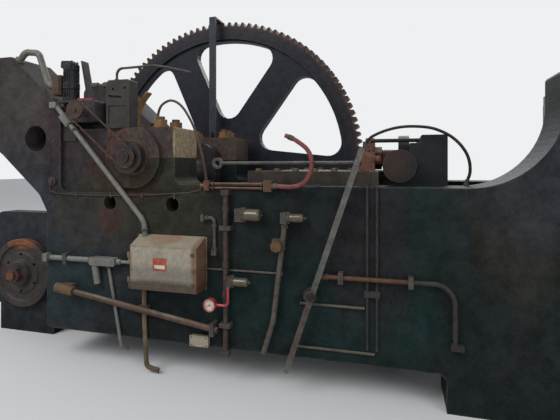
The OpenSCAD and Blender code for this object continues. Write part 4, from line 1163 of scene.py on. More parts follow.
        "faded_plate", srgb(138, 62, 54), srgb(122, 66, 56), Tone.CREAM.value, rust_amount=0.2,
        rust_scale=60.0, patch_scale=30.0, rough_low=0.4, rough_high=0.6, bump=0.05, wear_and_highlight=0.2,
        dust_and_top_light=0.1,
    ),
)

# Name of each node's finish.
NODE_FINISHES = {
    # Frame and bearings.
    "frame": "worn_frame_paint",
    "bolster_plate": "oiled_steel",
    "near_bearing_cap": "greasy_cap_iron",
    "far_bearing_cap": "greasy_cap_iron",
    "cap_studs": "stud_steel",
    "cap_nuts": "orange_rust",
    "main_bushes": "bearing_bronze",
    "gibs": "gib_iron",
    "gib_screws": "stud_steel",
    "backshaft_bushes": "bearing_bronze",
    # On the caps and the crown.
    "guard_bracket": "guard_paint",
    "bracket_screws": "stud_steel",
    "bearing_post": "post_iron",
    "post_valve": "die_casting",
    "band_strip": "ochre_rust",
    "oil_tube": "tube_brown",
    "cap_hose": "brown_hose",
    "drive_bracket": "drive_iron",
    "switch_housing": "switch_black",
    "switch_cover": "faded_red",
    "switch_chain": "chain_steel",
    "drive_motor": "black_enamel",
    "terminal_box": "terminal_rust",
    "lean_plate": "dark_paint",
    "crown_conduit": "flex_conduit",
    "diagonal_conduit": "dull_zinc",
    "level_conduit": "dull_zinc",
    "conduit_leg": "dull_zinc",
    # On the near side of the column.
    "control_box": "cream_enamel",
    "box_door": "cream_enamel",
    "contactor": "black_enamel",
    "box_drain": "drain_rust",
    "brace_rod": "rod_rust",
    "brace_socket": "socket_rust",
    "air_riser": "pipe_iron",
    "lube_lines": "dull_copper",
    "air_pipes": "grey_pipe",
    "filter_heads": "die_casting",
    "filter_bowls": "amber_bowl",
    "gauge_case": "red_case",
    "junction_box": "cream_enamel",
    "corner_pipe": "corner_pipe_paint",
    "twin_conduits": "dark_paint",
    "pipe_clamps": "clamp_steel",
    "lever_bracket": "pivot_steel",
    "hose_block": "block_rust",
    "red_hose": "red_rubber",
    "black_hose": "black_rubber",
    # Moving pieces.
    "crankshaft": "crank_steel",
    "bull_gear": "gear_iron",
    "gear_key": "stud_steel",
    "crank_sprocket": "chain_steel",
    "backshaft": "disc_rust",
    "pinion": "brown_rust",
    "slide": "slide_paint",
    "adjusting_screw": "screw_rust",
    "trip_lever": "lever_steel",
    "control_rod": "rod_steel",
    "switch_rotor": "chain_steel",
    "regulator_knob": "brown_plastic",
}


@dataclass
class Dresser:
    """Gives each CAD node its finish."""

    nodes: dict[str, bpy.types.Object]
    effects: Effects
    materials: dict[str, bpy.types.Material] = field(default_factory=dict)

    def dress(self) -> None:
        """Builds the finishes and puts each on its nodes."""
        for finish in FINISHES:
            self.materials[finish.name] = finish.build(self.effects)
        for name, finish_name in NODE_FINISHES.items():
            node = self.nodes[name]
            node.data.materials.clear()
            node.data.materials.append(self.materials[finish_name])
            LOG.info("dressed %s with %s", name, finish_name)


@dataclass
class Hose:
    """A flexible hose through route points in millimetres from the crank axis."""

    name: str
    node: str
    finish: str
    route: tuple[Point, ...]
    diameter: float
    far_end: FarEnd
    steps: int = 5
    roundness: int = 5

    @staticmethod
    def _between(before: Vector, start: Vector, end: Vector, after: Vector, share: float) -> Vector:
        """Point on the smooth line from start to end.

        Args:
            before: the route's point before start.
            start: where the line begins.
            end: where the line ends.
            after: the route's point after end.
            share: how far along the line, from 0 to 1.

        Returns:
            The point, in millimetres from the crank axis.
        """
        slope = end - before
        bend = 2 * before - 5 * start + 4 * end - after
        twist = 3 * start - before - 3 * end + after
        return 0.5 * (2 * start + slope * share + bend * share**2 + twist * share**3)

    def centreline(self) -> list[Vector]:
        """Smooth line through all the route's points.

        Returns:
            Points in the model's frame, in metres.
        """
        route = [Vector(place) for place in self.route]
        last = len(route) - 1
        line = []
        for i in range(last):
            near = route[max(i - 1, 0)], route[i], route[i + 1], route[min(i + 2, last)]
            line += [self._between(*near, k / self.steps) for k in range(self.steps)]
        line.append(route[-1])
        return [at_crank(*place) for place in line]

    def build(self, material: bpy.types.Material, slot: str) -> bpy.types.Object:
        """Args:
            material: its finish.
            slot: the record's material slot; not used.

        Returns:
            The hose's object.
        """
        line = self.centreline()
        curve = bpy.data.curves.new(self.name, "CURVE")
        curve.dimensions = "3D"
        curve.bevel_depth = self.diameter / 2
        curve.bevel_resolution = self.roundness
        curve.use_fill_caps = True
        spline = curve.splines.new("POLY")
        spline.points.add(len(line) - 1)
        for point, place in zip(spline.points, line):
            point.co = (*place, 1.0)
        piece = bpy.data.objects.new(self.name, curve)
        bpy.context.scene.collection.objects.link(piece)
        curve.materials.append(material)
        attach(piece, Body.FRAME.value)
        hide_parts(self.node)
        return piece


HOSES = (
    Hose(
        name="arched_cap_hose",
        node="cap_hose",
        finish="brown_hose",
        route=(
            (64, -414, 152.6), (64, -414, 190), (62, -414, 235), (82, -414, 278),
            (128, -414, 301), (172, -414, 290), (209, -414, 258), (240, -414, 212),
            (264, -414, 168), (284, -414, 120), (302, -414, 60), (318, -414, 0),
            (330, -414, -60), (336, -414, -100), (338, -414, -133.7),
        ),
        diameter=0.013,
        far_end=FarEnd.OBJECT,
    ),
    Hose(
        name="red_air_hose",
        node="red_hose",
        finish="red_rubber",
        route=(
            (738.5, -578, -135), (770, -580, -135), (810, -588, -137), (850, -600, -134),
            (885, -610, -122), (910, -614, -98), (923, -614, -66), (928, -614, -30), (922, -614, 4),
            (906, -614, 32), (880, -612, 54), (846, -610, 76), (809, -608, 92),
        ),
        diameter=0.02,
        far_end=FarEnd.BARE,
    ),
    Hose(
        name="arched_oil_hose",
        node="black_hose",
        finish="black_rubber",
        route=(
            (1134, -345, 44.8), (1135, -345, 62), (1156, -345, 88), (1184, -345, 106),
            (1228, -345, 124), (1280, -345, 137), (1330, -345, 142), (1387, -345, 140),
            (1438, -345, 132), (1484, -345, 114), (1526, -345, 88), (1562, -345, 52),
            (1588, -345, 10), (1600, -345, -34), (1600, -345, -76), (1590, -345, -108),
            (1584, -345, -131),
        ),
        diameter=0.014,
        far_end=FarEnd.OBJECT,
    ),
)


@dataclass
class Builder:
    """Makes a dressed piece from a bmesh."""

    materials: dict[str, bpy.types.Material]

    def piece(
        self, work: bmesh.types.BMesh, name: str, body: Body, slot: str, finish: str
    ) -> bpy.types.Object:
        """Turns a bmesh into a piece that rides on a body.

        Args:
            work: the shape in the model's frame, freed here.
            name: the piece's name.
            body: the CAD body that carries it.
            slot: the record's material slot; not used.
            finish: name of the material.

        Returns:
            The new object.
        """
        mesh = bpy.data.meshes.new(name)
        bmesh.ops.recalc_face_normals(work, faces=work.faces)
        work.to_mesh(mesh)
        work.free()
        mesh.materials.append(self.materials[finish])
        piece = bpy.data.objects.new(name, mesh)
        bpy.context.scene.collection.objects.link(piece)
        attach(piece, body.value)
        LOG.info("made %s with %d faces", name, len(mesh.polygons))
        return piece

    @staticmethod
    def _round(work: bmesh.types.BMesh, edges: set[bmesh.types.BMEdge], width: float) -> None:
        """Rounds edges.

        Args:
            work: the bmesh that they are in.
            edges: the edges.
            width: width of the rounding in metres.
        """
        bmesh.ops.bevel(
            work, geom=list(edges), offset=width, segments=2, profile=0.5, affect="EDGES",
            material=-1,
        )

    @staticmethod
    def _cylinder(
        work: bmesh.types.BMesh, place: Matrix, radius: float, depth: float, segments: int
    ) -> list[bmesh.types.BMVert]:
        """Adds a cylinder or a prism with closed ends.

        Args:
            work: the bmesh to add to.
            place: its middle, and a turn from the Z axis.
            radius: its radius.
            depth: its length.
            segments: sides round it.

        Returns:
            Its vertices.
        """
        made = bmesh.ops.create_cone(
            work, cap_ends=True, segments=segments, radius1=radius, radius2=radius, depth=depth,
            matrix=place,
        )
        return made["verts"]

    @staticmethod
    def disc(
        work: bmesh.types.BMesh, centre: Vector, radius: float, depth: float, bevel: float = 0.0,
        segments: int = 24,
    ) -> None:
        """Adds a short cylinder that points along Y.

        Args:
            work: the bmesh to add to.
            centre: middle of the cylinder.
            radius: its radius.
            depth: its length along Y.
            bevel: width of its rounded edges.
            segments: sides round it.
        """
        place = Matrix.Translation(centre) @ Matrix.Rotation(math.radians(90), 4, "X")
        made = Builder._cylinder(work, place, radius, depth, segments)
        if bevel > 0:
            edges = {edge for vert in made for edge in vert.link_edges if len(edge.link_faces) == 2}
            Builder._round(work, {e for e in edges if e.calc_face_angle() > SHARP_ANGLE}, bevel)

    @staticmethod
    def brick(
        work: bmesh.types.BMesh, centre: Vector, size: Point, bevel: float,
        turn: Matrix | None = None,
    ) -> None:
        """Adds a box with rounded edges.

        Args:
            work: the bmesh to add to.
            centre: middle of the box.
            size: its three sides.
            bevel: width of its rounded edges.
            turn: a turn round its middle.
        """
        scale = Matrix.Diagonal((*size, 1.0))
        place = Matrix.Translation(centre) @ (turn or Matrix.Identity(4)) @ scale
        made = bmesh.ops.create_cube(work, size=1.0, matrix=place)
        Builder._round(work, {edge for vert in made["verts"] for edge in vert.link_edges}, bevel)

    @staticmethod
    def rod(
        work: bmesh.types.BMesh, start: Vector, end: Vector, radius: float, bevel: float = 0.0,
        segments: int = 16,
    ) -> None:
        """Adds a cylinder or a prism between two places.

        Args:
            work: the bmesh to add to.
            start: middle of its first end.
            end: middle of its second end.
            radius: its radius.
            bevel: width of its rounded end edges.
            segments: sides round it, 6 for a hexagon.
        """
        line = end - start
        turn = line.to_track_quat("Z", "Y").to_matrix().to_4x4()
        place = Matrix.Translation((start + end) / 2) @ turn
        made = Builder._cylinder(work, place, radius, line.length, segments)
        if bevel > 0:
            faces = {face for vert in made for face in vert.link_faces}
            caps = [face for face in faces if len(face.verts) == segments]
            Builder._round(work, {edge for cap in caps for edge in cap.edges}, bevel)

    @staticmethod
    def stub(
        work: bmesh.types.BMesh, place: Point, length: float, radius: float, bevel: float,
        segments: int,
    ) -> None:
        """Adds a cylinder or a prism that runs from a place towards the bed.

        Args:
            work: the bmesh to add to.
            place: middle of its left end, in millimetres from the crank axis.
            length: its length in millimetres.
            radius: its radius in metres.
            bevel: width of its rounded end edges in metres.
            segments: sides round it.
        """
        x, y, z = place
        Builder.rod(work, at_crank(x, y, z), at_crank(x + length, y, z), radius, bevel, segments)

    @staticmethod
    def coil(
        work: bmesh.types.BMesh, start: Vector, axis: Vector, radius: float, ridge: float,
        pitch: float, turns: int,
    ) -> None:
        """Adds the ridge of a thread by spinning its section along a screw line.

        Args:
            work: the bmesh to add to.
            start: where the thread's axis begins.
            axis: direction of the axis.
            radius: radius of the thread's root.
            ridge: height of the ridge.
            pitch: distance from turn to turn.
            turns: number of turns.
        """
        side = axis.orthogonal().normalized()
        section = [(-RIDGE_FOOT, -RIDGE_SUNK), (0.0, ridge), (RIDGE_FOOT, -RIDGE_SUNK)]
        points = [
            work.verts.new(start + axis * (along * pitch) + side * (radius + out))
            for along, out in section
        ]
        face = work.faces.new(points)
        bmesh.ops.spin(
            work,
            geom=[face, *face.edges, *points],
            cent=start,
            axis=axis,
            dvec=axis * (pitch / STEPS_A_TURN),
            angle=math.tau * turns,
            steps=STEPS_A_TURN * turns,
            use_duplicate=False,
        )


@dataclass
class Fittings:
    """Ferrules and hexagons at the ends of the hoses and pipes.

    Each is a start, an end and a radius, in millimetres from the crank axis. Crimps stand at
    shares of a ferrule's length, and their sizes are in metres.
    """

    ferrules: tuple[tuple[Point, Point, float], ...] = (
        ((1134, -345, 52), (1134.8, -345, 74), 9.5),
        ((1585.6, -345, -124), (1590, -345, -104), 9.5),
        ((64, -414, 162), (64, -414, 186), 8.5),
        ((338, -414, -124), (337, -414, -104), 8.5),
        ((740, -578, -135), (764, -579.6, -135), 12.5),
        ((846, -610, 76), (822, -608.8, 86.8), 11.8),
    )
    hexagons: tuple[tuple[Point, Point, float], ...] = (
        ((1134, -345, 44.6), (1134, -345, 53), 12.5),
        ((1584, -345, -133.6), (1585.5, -345, -123), 12.5),
        ((64, -414, 152.4), (64, -414, 163), 11.5),
        ((338, -414, -133.6), (338, -414, -123), 11.5),
        ((454, -569, -318), (454, -569, -332), 12.5),
        ((454, -569, -424), (454, -569, -438), 12.5),
        ((408, -569, -288.8), (421, -569, -288.3), 12.5),
        ((800, -586, -306), (798.3, -586, -320), 16.5),
        ((-237, -574.3, -524), (-223, -574.3, -524), 19.0),
        ((-489, -574.3, -524), (-476, -574.3, -524), 19.0),
        ((-128, -569.3, -549), (-126.7, -569.3, -561), 13.0),
        ((85, -575, -352), (85, -575, -364), 18.0),
        ((-334, -575, 148), (-323, -575, 135.7), 17.0),
        ((80, -572, -643), (80, -572, -655), 15.0),
        ((445, -577, -126), (453, -577, -126), 9.0),
        ((445, -577, -146), (453, -577, -146), 9.0),
        ((684, -577, -126), (692, -577, -126), 9.0),
        ((684, -577, -146), (692, -577, -146), 9.0),
        ((984, -580, -526), (996, -580, -526), 14.0),
        ((-115, -520, 395), (-115, -520, 407), 11.0),
    )
    ferrule_edge: float = 0.0012
    ferrule_sides: int = 24
    crimps: tuple[float, ...] = (0.28, 0.5, 0.72)
    crimp_half: float = 0.0011
    crimp_rise: float = 0.0007
    crimp_edge: float = 0.0003
    hexagon_edge: float = 0.0011

    def build(self, builder: Builder, slot: str) -> None:
        """Makes all the fittings as two pieces.

        Args:
            builder: makes the pieces.
            slot: the record's material slot.
        """
        work = bmesh.new()
        for start, end, radius in self.ferrules:
            a, b = at_crank(*start), at_crank(*end)
            builder.rod(work, a, b, mm(radius), self.ferrule_edge, self.ferrule_sides)
            step = (b - a).normalized() * self.crimp_half
            raised = mm(radius) + self.crimp_rise
            for share in self.crimps:
                middle = a.lerp(b, share)
                builder.rod(
                    work, middle - step, middle + step, raised, self.crimp_edge, self.ferrule_sides,
                )
        builder.piece(work, "hose_ferrules", Body.FRAME, slot, "clamp_steel")
        work = bmesh.new()
        for start, end, radius in self.hexagons:
            builder.rod(
                work, at_crank(*start), at_crank(*end), mm(radius), self.hexagon_edge, HEXAGON
            )
        builder.piece(work, "pipe_hexagons", Body.FRAME, slot, "die_casting")


@dataclass
class BowlTrim:
    """Clamp rings, lugs and drain cocks of the three filter bowls.

    Each bowl is the left end's X, the axis's Z, the radius and the length, in millimetres.
    """

    bowls: tuple[tuple[float, float, float, float], ...] = (
        (608.0, -266.0, 31.0, 82.0), (815.0, -273.0, 22.0, 76.0), (552.0, -574.0, 23.0, 80.0),
    )
    y: float = -596.0
    ring_from: float = 1.0
    ring_long: float = 8.0
    ring_rise: float = 2.6
    ring_edge: float = 0.0012
    ring_sides: int = 32
    lugs: int = 8
    lug_from: float = 0.6
    lug_long: float = 10.4
    lug_out: float = 2.0
    lug_start: float = 0.2
    lug: Bar = Bar(0.0026, 0.0006, 10)
    cock_from: float = -0.5
    cock_long: float = 5.5
    cock: Bar = Bar(0.0075, 0.0009, HEXAGON)
    outlet_from: float = 4.5
    outlet_long: float = 6.5
    outlet: Bar = Bar(0.0035, 0.0008, 12)

    def build(self, builder: Builder, slot: str) -> None:
        """Makes the trim of all the bowls as one piece.

        Args:
            builder: makes the piece.
            slot: the record's material slot.
        """
        work = bmesh.new()
        for x, z, radius, length in self.bowls:
            ring = Bar(mm(radius + self.ring_rise), self.ring_edge, self.ring_sides)
            builder.stub(work, (x + self.ring_from, self.y, z), self.ring_long, *ring)
            for turn in range(self.lugs):
                angle = math.tau * turn / self.lugs + self.lug_start
                out = radius + self.lug_out
                lug_y = self.y + math.cos(angle) * out
                lug_z = z + math.sin(angle) * out
                builder.stub(work, (x + self.lug_from, lug_y, lug_z), self.lug_long, *self.lug)
            end = x + length
            builder.stub(work, (end + self.cock_from, self.y, z), self.cock_long, *self.cock)
            builder.stub(work, (end + self.outlet_from, self.y, z), self.outlet_long, *self.outlet)
        builder.piece(work, "bowl_trim", Body.FRAME, slot, "die_casting")


@dataclass
class MotorTrim:
    """Ribs, end screws and small plug box of the motor, and the knob of the box beside it.

    The motor's axis and foot are in millimetres from the crank axis, and places on it from there.
    Section sizes are in metres.
    """

    middle: tuple[float, float] = (-388.0, -530.0)
    base: float = 298.0
    ribs: int = 22
    rib_bands: tuple[Point, ...] = ((21, 61, 38.4), (101, 159, 37.4))
    rib_section: tuple[float, float] = (0.0052, 0.0022)
    rib_edge: float = 0.0007
    screws: int = 4
    screw_circle: float = 30.0
    screw_span: tuple[float, float] = (204.0, 214.0)
    screw: Bar = Bar(0.0042, 0.0008, HEXAGON)
    plug_lean: float = 4.0
    plug_shift: tuple[float, float] = (-4.0, -8.0)
    plug_parts: tuple[tuple[float, Block], ...] = (
        (190.0, Block((0.066, 0.058, 0.034), 0.004)), (209.0, Block((0.06, 0.052, 0.006), 0.002)),
    )
    inlet_place: Point = (30.0, -12.0, 190.0)
    inlet_long: float = 14.0
    inlet: Bar = Bar(0.011, 0.0015, HEXAGON)
    knob_place: Point = (-58.0, -8.0, 98.0)
    knob_long: float = 18.0
    knob: Bar = Bar(0.014, 0.002, 20)

    def build(self, builder: Builder, slot: str) -> None:
        """Makes the trim as one piece.

        Args:
            builder: makes the piece.
            slot: the record's material slot.
        """
        x, y = self.middle
        work = bmesh.new()
        for i in range(self.ribs):
            turn = Matrix.Rotation(math.tau * i / self.ribs, 4, "Z")
            for low, high, radius in self.rib_bands:
                out = turn @ Vector((mm(radius), 0, 0))
                centre = at_crank(x, y, self.base + (low + high) / 2) + out
                builder.brick(
                    work, centre, (*self.rib_section, mm(high - low)), self.rib_edge, turn,
                )
        low, high = self.screw_span
        for i in range(self.screws):
            angle = math.tau * (i + 0.5) / self.screws
            px = x + self.screw_circle * math.cos(angle)
            py = y + self.screw_circle * math.sin(angle)
            ends = at_crank(px, py, self.base + low), at_crank(px, py, self.base + high)
            builder.rod(work, *ends, *self.screw)
        lean = Matrix.Rotation(math.radians(self.plug_lean), 4, "Y")
        aside, back = self.plug_shift
        for height, part in self.plug_parts:
            builder.brick(work, at_crank(x + aside, y + back, self.base + height), *part, lean)
        for (right, back, up), length, bar in (
            (self.inlet_place, self.inlet_long, self.inlet),
            (self.knob_place, self.knob_long, self.knob),
        ):
            builder.stub(work, (x + right, y + back, self.base + up), length, *bar)
        builder.piece(work, "motor_trim", Body.FRAME, slot, "black_enamel")


@dataclass
class Threads:
    """Threads of the adjusting screw and of the studs over their nuts.

    Places, gaps and the screw's pitch are in millimetres, and the other sizes in metres.
    """

    wheel_face: float = 1161.0
    head_face: float = 1286.0
    screw_gap: float = 7.0
    screw_bare: float = 10.0
    screw_root: float = 0.044
    screw_ridge: float = 0.0042
    screw_pitch: float = 9.0
    studs: tuple[tuple[float, float], ...] = (
        (-122.0, -430.0), (-122.0, -335.0), (122.0, -490.0), (122.0, -335.0),
        (-122.0, 430.0), (-122.0, 335.0), (122.0, 430.0), (122.0, 335.0),
    )
    nut_top: float = 192.0
    stud_gap: float = 2.0
    stud_root: float = 0.021
    stud_ridge: float = 0.0014
    stud_pitch: float = 0.0036
    stud_turns: int = 3

    def build(self, builder: Builder, screw_slot: str, stud_slot: str) -> None:
        """Makes the screw's thread and the studs' threads.

        Args:
            builder: makes the pieces.
            screw_slot: material slot of the screw.
            stud_slot: material slot of the studs.
        """
        work = bmesh.new()
        turns = int((self.head_face - self.wheel_face - self.screw_bare) / self.screw_pitch)
        start = at_crank(self.wheel_face + self.screw_gap, 0, 0)
        along = Vector((1, 0, 0))
        builder.coil(
            work, start, along, self.screw_root, self.screw_ridge, mm(self.screw_pitch), turns,
        )
        builder.piece(work, "screw_thread", Body.SCREW, screw_slot, "screw_rust")
        work = bmesh.new()
        up = Vector((0, 0, 1))
        for x, y in self.studs:
            start = at_crank(x, y, self.nut_top + self.stud_gap)
            builder.coil(
                work, start, up, self.stud_root, self.stud_ridge, self.stud_pitch, self.stud_turns
            )
        builder.piece(work, "stud_threads", Body.FRAME, stud_slot, "stud_steel")


@dataclass
class BoxTrim:
    """Folded rims of the control box and the turn latches on its door.

    Places, and distances in and out from them, are in millimetres, and the rims' own sizes in
    metres.
    """

    left: float = 52.0
    right: float = 403.0
    front: float = -650.0
    rim_y: float = -562.2
    rim_low: float = -628.4
    rim_middle: float = -504.0
    rim_height: float = 0.245
    rim_thick: float = 0.0036
    rim_wide: float = 0.0075
    rim_past: float = 0.018
    rim_edge: float = 0.001
    rim_out: float = 5.5
    screw_in: float = 24.0
    screw_out: float = 2.6
    screw: Button = Button(0.0045, 0.003, 0.0008, 12)
    latches: tuple[float, float] = (-452.0, -590.0)
    latch_in: float = 20.0
    latch_out: float = 6.5
    latch: Button = Button(0.009, 0.004, 0.0012, 20)
    grip_out: float = 9.5
    grip: Block = Block((0.003, 0.003, 0.014), 0.0006)

    def build(self, builder: Builder, slot: str) -> None:
        """Makes the fixed rims on the box and the turn latches on its door.

        Args:
            builder: makes the pieces.
            slot: the record's material slot.
        """
        work = bmesh.new()
        middle = (self.left + self.right) / 2
        lower = (mm(self.right - self.left) + self.rim_past, self.rim_thick, self.rim_wide)
        builder.brick(work, at_crank(middle, self.rim_y, self.rim_low), lower, self.rim_edge)
        upright = (self.rim_wide, self.rim_thick, self.rim_height)
        for x in (self.left - self.rim_out, self.right + self.rim_out):
            place = at_crank(x, self.rim_y, self.rim_middle)
            builder.brick(work, place, upright, self.rim_edge)
        for x in (self.left + self.screw_in, self.right - self.screw_in):
            place = at_crank(x, self.rim_y - self.screw_out, self.rim_low)
            builder.disc(work, place, *self.screw)
        builder.piece(work, "box_rims", Body.FRAME, slot, "cream_enamel")
        work = bmesh.new()
        x = self.right - self.latch_in
        for z in self.latches:
            builder.disc(work, at_crank(x, self.front - self.latch_out, z), *self.latch)
            builder.brick(work, at_crank(x, self.front - self.grip_out, z), *self.grip)
        builder.piece(work, "door_latches", Body.DOOR, slot, "clamp_steel")


@dataclass
class LedgeLine:
    """Thin oil line along the recess's lower ledge, with its plug at the left end.

    The route and the places are in millimetres from the crank axis.
    """

    route: tuple[Point, ...] = (
        (-492, -565, -138), (-497, -565, -156), (-486, -565, -175), (-450, -565, -186),
        (-380, -565, -190), (-245, -565, -193), (-66, -565, -192), (120, -565, -186),
        (323, -565, -171), (368, -566, -160), (392, -570, -143),
    )
    line: Bar = Bar(0.0032, 0.0, 10)
    clips: tuple[float, ...] = (-330, -120, 60, 240)
    clip_place: tuple[float, float] = (-563, -190)
    clip: Block = Block((0.012, 0.007, 0.026), 0.001)
    plug_place: tuple[float, float] = (-480, -123)
    collar_span: tuple[float, float] = (-559, -570)
    collar: Bar = Bar(0.024, 0.002, 28)
    head_span: tuple[float, float] = (-569, -577)
    head: Bar = Bar(0.013, 0.0015, HEXAGON)

    def build(self, builder: Builder, slot: str) -> None:
        """Makes the line, its clips and its plug.

        Args:
            builder: makes the pieces.
            slot: the record's material slot.
        """
        work = bmesh.new()
        places = [at_crank(*place) for place in self.route]
        for a, b in zip(places, places[1:]):
            builder.rod(work, a, b, *self.line)
            bend = Matrix.Translation(b)
            bmesh.ops.create_icosphere(work, subdivisions=2, radius=self.line.radius, matrix=bend)
        for x in self.clips:
            builder.brick(work, at_crank(x, *self.clip_place), *self.clip)
        builder.piece(work, "ledge_oil_line", Body.FRAME, slot, "pipe_iron")
        work = bmesh.new()
        x, z = self.plug_place
        for (back, front), bar in ((self.collar_span, self.collar), (self.head_span, self.head)):
            builder.rod(work, at_crank(x, back, z), at_crank(x, front, z), *bar)
        builder.piece(work, "ledge_plug", Body.FRAME, slot, "brown_rust")


@dataclass
class Gauge:
    """Dial, marks and needle of the pressure gauge.

    The centre is in millimetres from the crank axis, turns are in degrees, and sizes in metres.
    """

    centre: Point = (455.0, -628.0, -681.0)
    face_out: float = 0.0006
    face: Button = Button(0.0255, 0.001, 0.0, 48)
    ticks: int = 11
    first_tick: float = -45.0
    tick_sweep: float = 270.0
    tick_share: float = 0.82
    tick_out: float = 0.0014
    tick: Block = Block((0.005, 0.0006, 0.0012), 0.0001)
    needle_turn: float = -205.0
    needle_shift: float = 0.006
    needle_out: float = 0.0022
    needle: Block = Block((0.024, 0.0007, 0.0014), 0.0001)
    hub: Button = Button(0.003, 0.002, 0.0004, 16)

    def build(self, builder: Builder) -> None:
        """Makes the dial, its marks and its needle.

        Args:
            builder: makes the pieces.
        """
        middle = at_crank(*self.centre)
        face = bmesh.new()
        builder.disc(face, middle + Vector((0, -self.face_out, 0)), *self.face)
        builder.piece(face, "gauge_dial", Body.FRAME, "gauge_red", "pale_dial")
        marks = bmesh.new()
        printed = Vector((0, -self.tick_out, 0))
        for i in range(self.ticks):
            angle = math.radians(self.first_tick + self.tick_sweep * i / (self.ticks - 1))
            turn = Matrix.Rotation(-angle, 4, "Y")
            out = Vector((math.cos(angle), 0, math.sin(angle))) * self.face.radius * self.tick_share
            builder.brick(marks, middle + out + printed, *self.tick, turn)
        raised = Vector((0, -self.needle_out, 0))
        turn = Matrix.Rotation(math.radians(self.needle_turn), 4, "Y")
        tip = turn @ Vector((self.needle_shift, 0, 0))
        builder.brick(marks, middle + tip + raised, *self.needle, turn)
        builder.disc(marks, middle + raised, *self.hub)
        builder.piece(marks, "gauge_marks", Body.FRAME, "gauge_red", "black_enamel")


@dataclass
class Chain:
    """Roller chain round the two sprockets.

    The loop is in millimetres from the crank axis, and the links' sizes are in metres.
    """

    far: tuple[float, float] = (-285.0, 240.0)
    y: float = -619.0
    radius: float = 49.5
    links: int = 66
    plate: Block = Block((0.0205, 0.001, 0.0062), 0.0004)
    plate_gaps: tuple[float, float] = (0.003, 0.0042)
    roller: Button = Button(0.0034, 0.0098, 0.0, 8)

    def _place(self, share: float) -> tuple[Vector, float]:
        """Place on the loop.

        Args:
            share: how far round the loop, from 0 to 1.

        Returns:
            The place in millimetres from the crank axis, and the slope there in radians.
        """
        span = math.hypot(*self.far)
        lean = math.atan2(self.far[1], self.far[0])
        half = math.pi * self.radius
        run = share * 2 * (span + half)
        along = Vector((math.cos(lean), 0, math.sin(lean)))
        side = Vector((-math.sin(lean), 0, math.cos(lean)))
        if run < span:
            return along * run - side * self.radius, lean
        run -= span
        if run < half:
            turn = lean - math.pi / 2 + run / self.radius
            out = Vector((math.cos(turn), 0, math.sin(turn)))
            return along * span + out * self.radius, turn + math.pi / 2
        run -= half
        if run < span:
            return along * (span - run) + side * self.radius, lean + math.pi
        run -= span
        turn = lean + math.pi / 2 + run / self.radius
        return Vector((math.cos(turn), 0, math.sin(turn))) * self.radius, turn + math.pi / 2

    def build(self, builder: Builder, slot: str) -> None:
        """Makes the chain in place of its CAD band.

        Args:
            builder: makes the piece.
            slot: the record's material slot.
        """
        work = bmesh.new()
        for i in range(self.links):
            spot, slope = self._place(i / self.links)
            turn = Matrix.Rotation(-slope, 4, "Y")
            middle = at_crank(spot.x, self.y, spot.z)
            gap = self.plate_gaps[i % 2]
            for side in (-1, 1):
                builder.brick(work, middle + Vector((0, side * gap, 0)), *self.plate, turn)
            pin, _ = self._place((i + 0.5) / self.links)
            builder.disc(work, at_crank(pin.x, self.y, pin.z), *self.roller)
        piece = builder.piece(work, "switch_roller_chain", Body.FRAME, slot, "chain_steel")
        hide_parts("switch_chain")


@dataclass
class Screws:
    """Small round-headed screws on the flat faces.

    Each is a place from the crank axis and a radius, in millimetres. Heads are in metres.
    """

    places: tuple[tuple[float, float, float, float], ...] = (
        (-380.0, -594.6, -503.4, 4.0), (-380.0, -594.6, -544.6, 4.0),
        (499.0, -603.4, -330.0, 4.0), (535.0, -603.4, -330.0, 4.0),
        (499.0, -603.4, -780.0, 4.0), (535.0, -603.4, -780.0, 4.0),
        (1050.0, -596.6, -509.0, 3.6), (1050.0, -596.6, -543.0, 3.6),
        (1340.0, -596.6, -509.0, 3.6), (1340.0, -596.6, -543.0, 3.6),
        (344.0, -590.4, -852.0, 3.0), (420.0, -590.4, -852.0, 3.0),
        (344.0, -590.4, -888.0, 3.0), (420.0, -590.4, -888.0, 3.0),
        (-181.0, -604.4, -525.0, 3.0), (-91.0, -604.4, -525.0, 3.0),
        (-470.0, -567.4, 90.0, 5.0),
        (-334.0, -562.4, 268.0, 4.0), (-232.0, -562.4, 268.0, 4.0), (-334.0, -562.4, 200.0, 4.0),
        (-474.0, -567.4, 320.0, 3.0),
        (-448.0, -567.4, 438.0, 3.0), (-484.0, -567.4, 438.0, 3.0),
        (-448.0, -567.4, 346.0, 3.0), (-484.0, -567.4, 346.0, 3.0),
    )
    head: float = 0.003
    edge: float = 0.0008
    sides: int = 12

    def build(self, builder: Builder) -> None:
        """Makes all the screws as one piece.

        Args:
            builder: makes the piece.
        """
        work = bmesh.new()
        for x, y, z, radius in self.places:
            builder.disc(work, at_crank(x, y, z), mm(radius), self.head, self.edge, self.sides)
        builder.piece(work, "cover_screws", Body.FRAME, "zinc", "clamp_steel")


@dataclass
class DoorPlate:
    """Plain red plate on the control box's door.

    The centre is in millimetres from the crank axis, and sizes are in metres.
    """

    centre: Point = (214.0, -655.2, -503.0)
    plate: Block = Block((0.07, 0.0012, 0.056), 0.0004)
    field_share: tuple[float, float] = (0.78, 0.3)
    field_shift: Point = (0, -0.0006, -0.012)
    field_depth: float = 0.0006
    field_edge: float = 0.0002

    def build(self, builder: Builder) -> None:
        """Makes the plate with its pale inner field.

        Args:
            builder: makes the pieces.
        """
        middle = at_crank(*self.centre)
        work = bmesh.new()
        builder.brick(work, middle, *self.plate)
        builder.piece(work, "door_plate", Body.DOOR, "box_cream", "faded_plate")
        work = bmesh.new()
        long, _, tall = self.plate.size
        wide, high = self.field_share
        inner = (long * wide, self.field_depth, tall * high)
        builder.brick(work, middle + Vector(self.field_shift), inner, self.field_edge)
        builder.piece(work, "door_plate_field", Body.DOOR, "box_cream", "pale_dial")


@dataclass(frozen=True)
class Lamp:
    """A square soft lamp."""

    name: str
    place: Point
    power: float
    size: float = 4.0


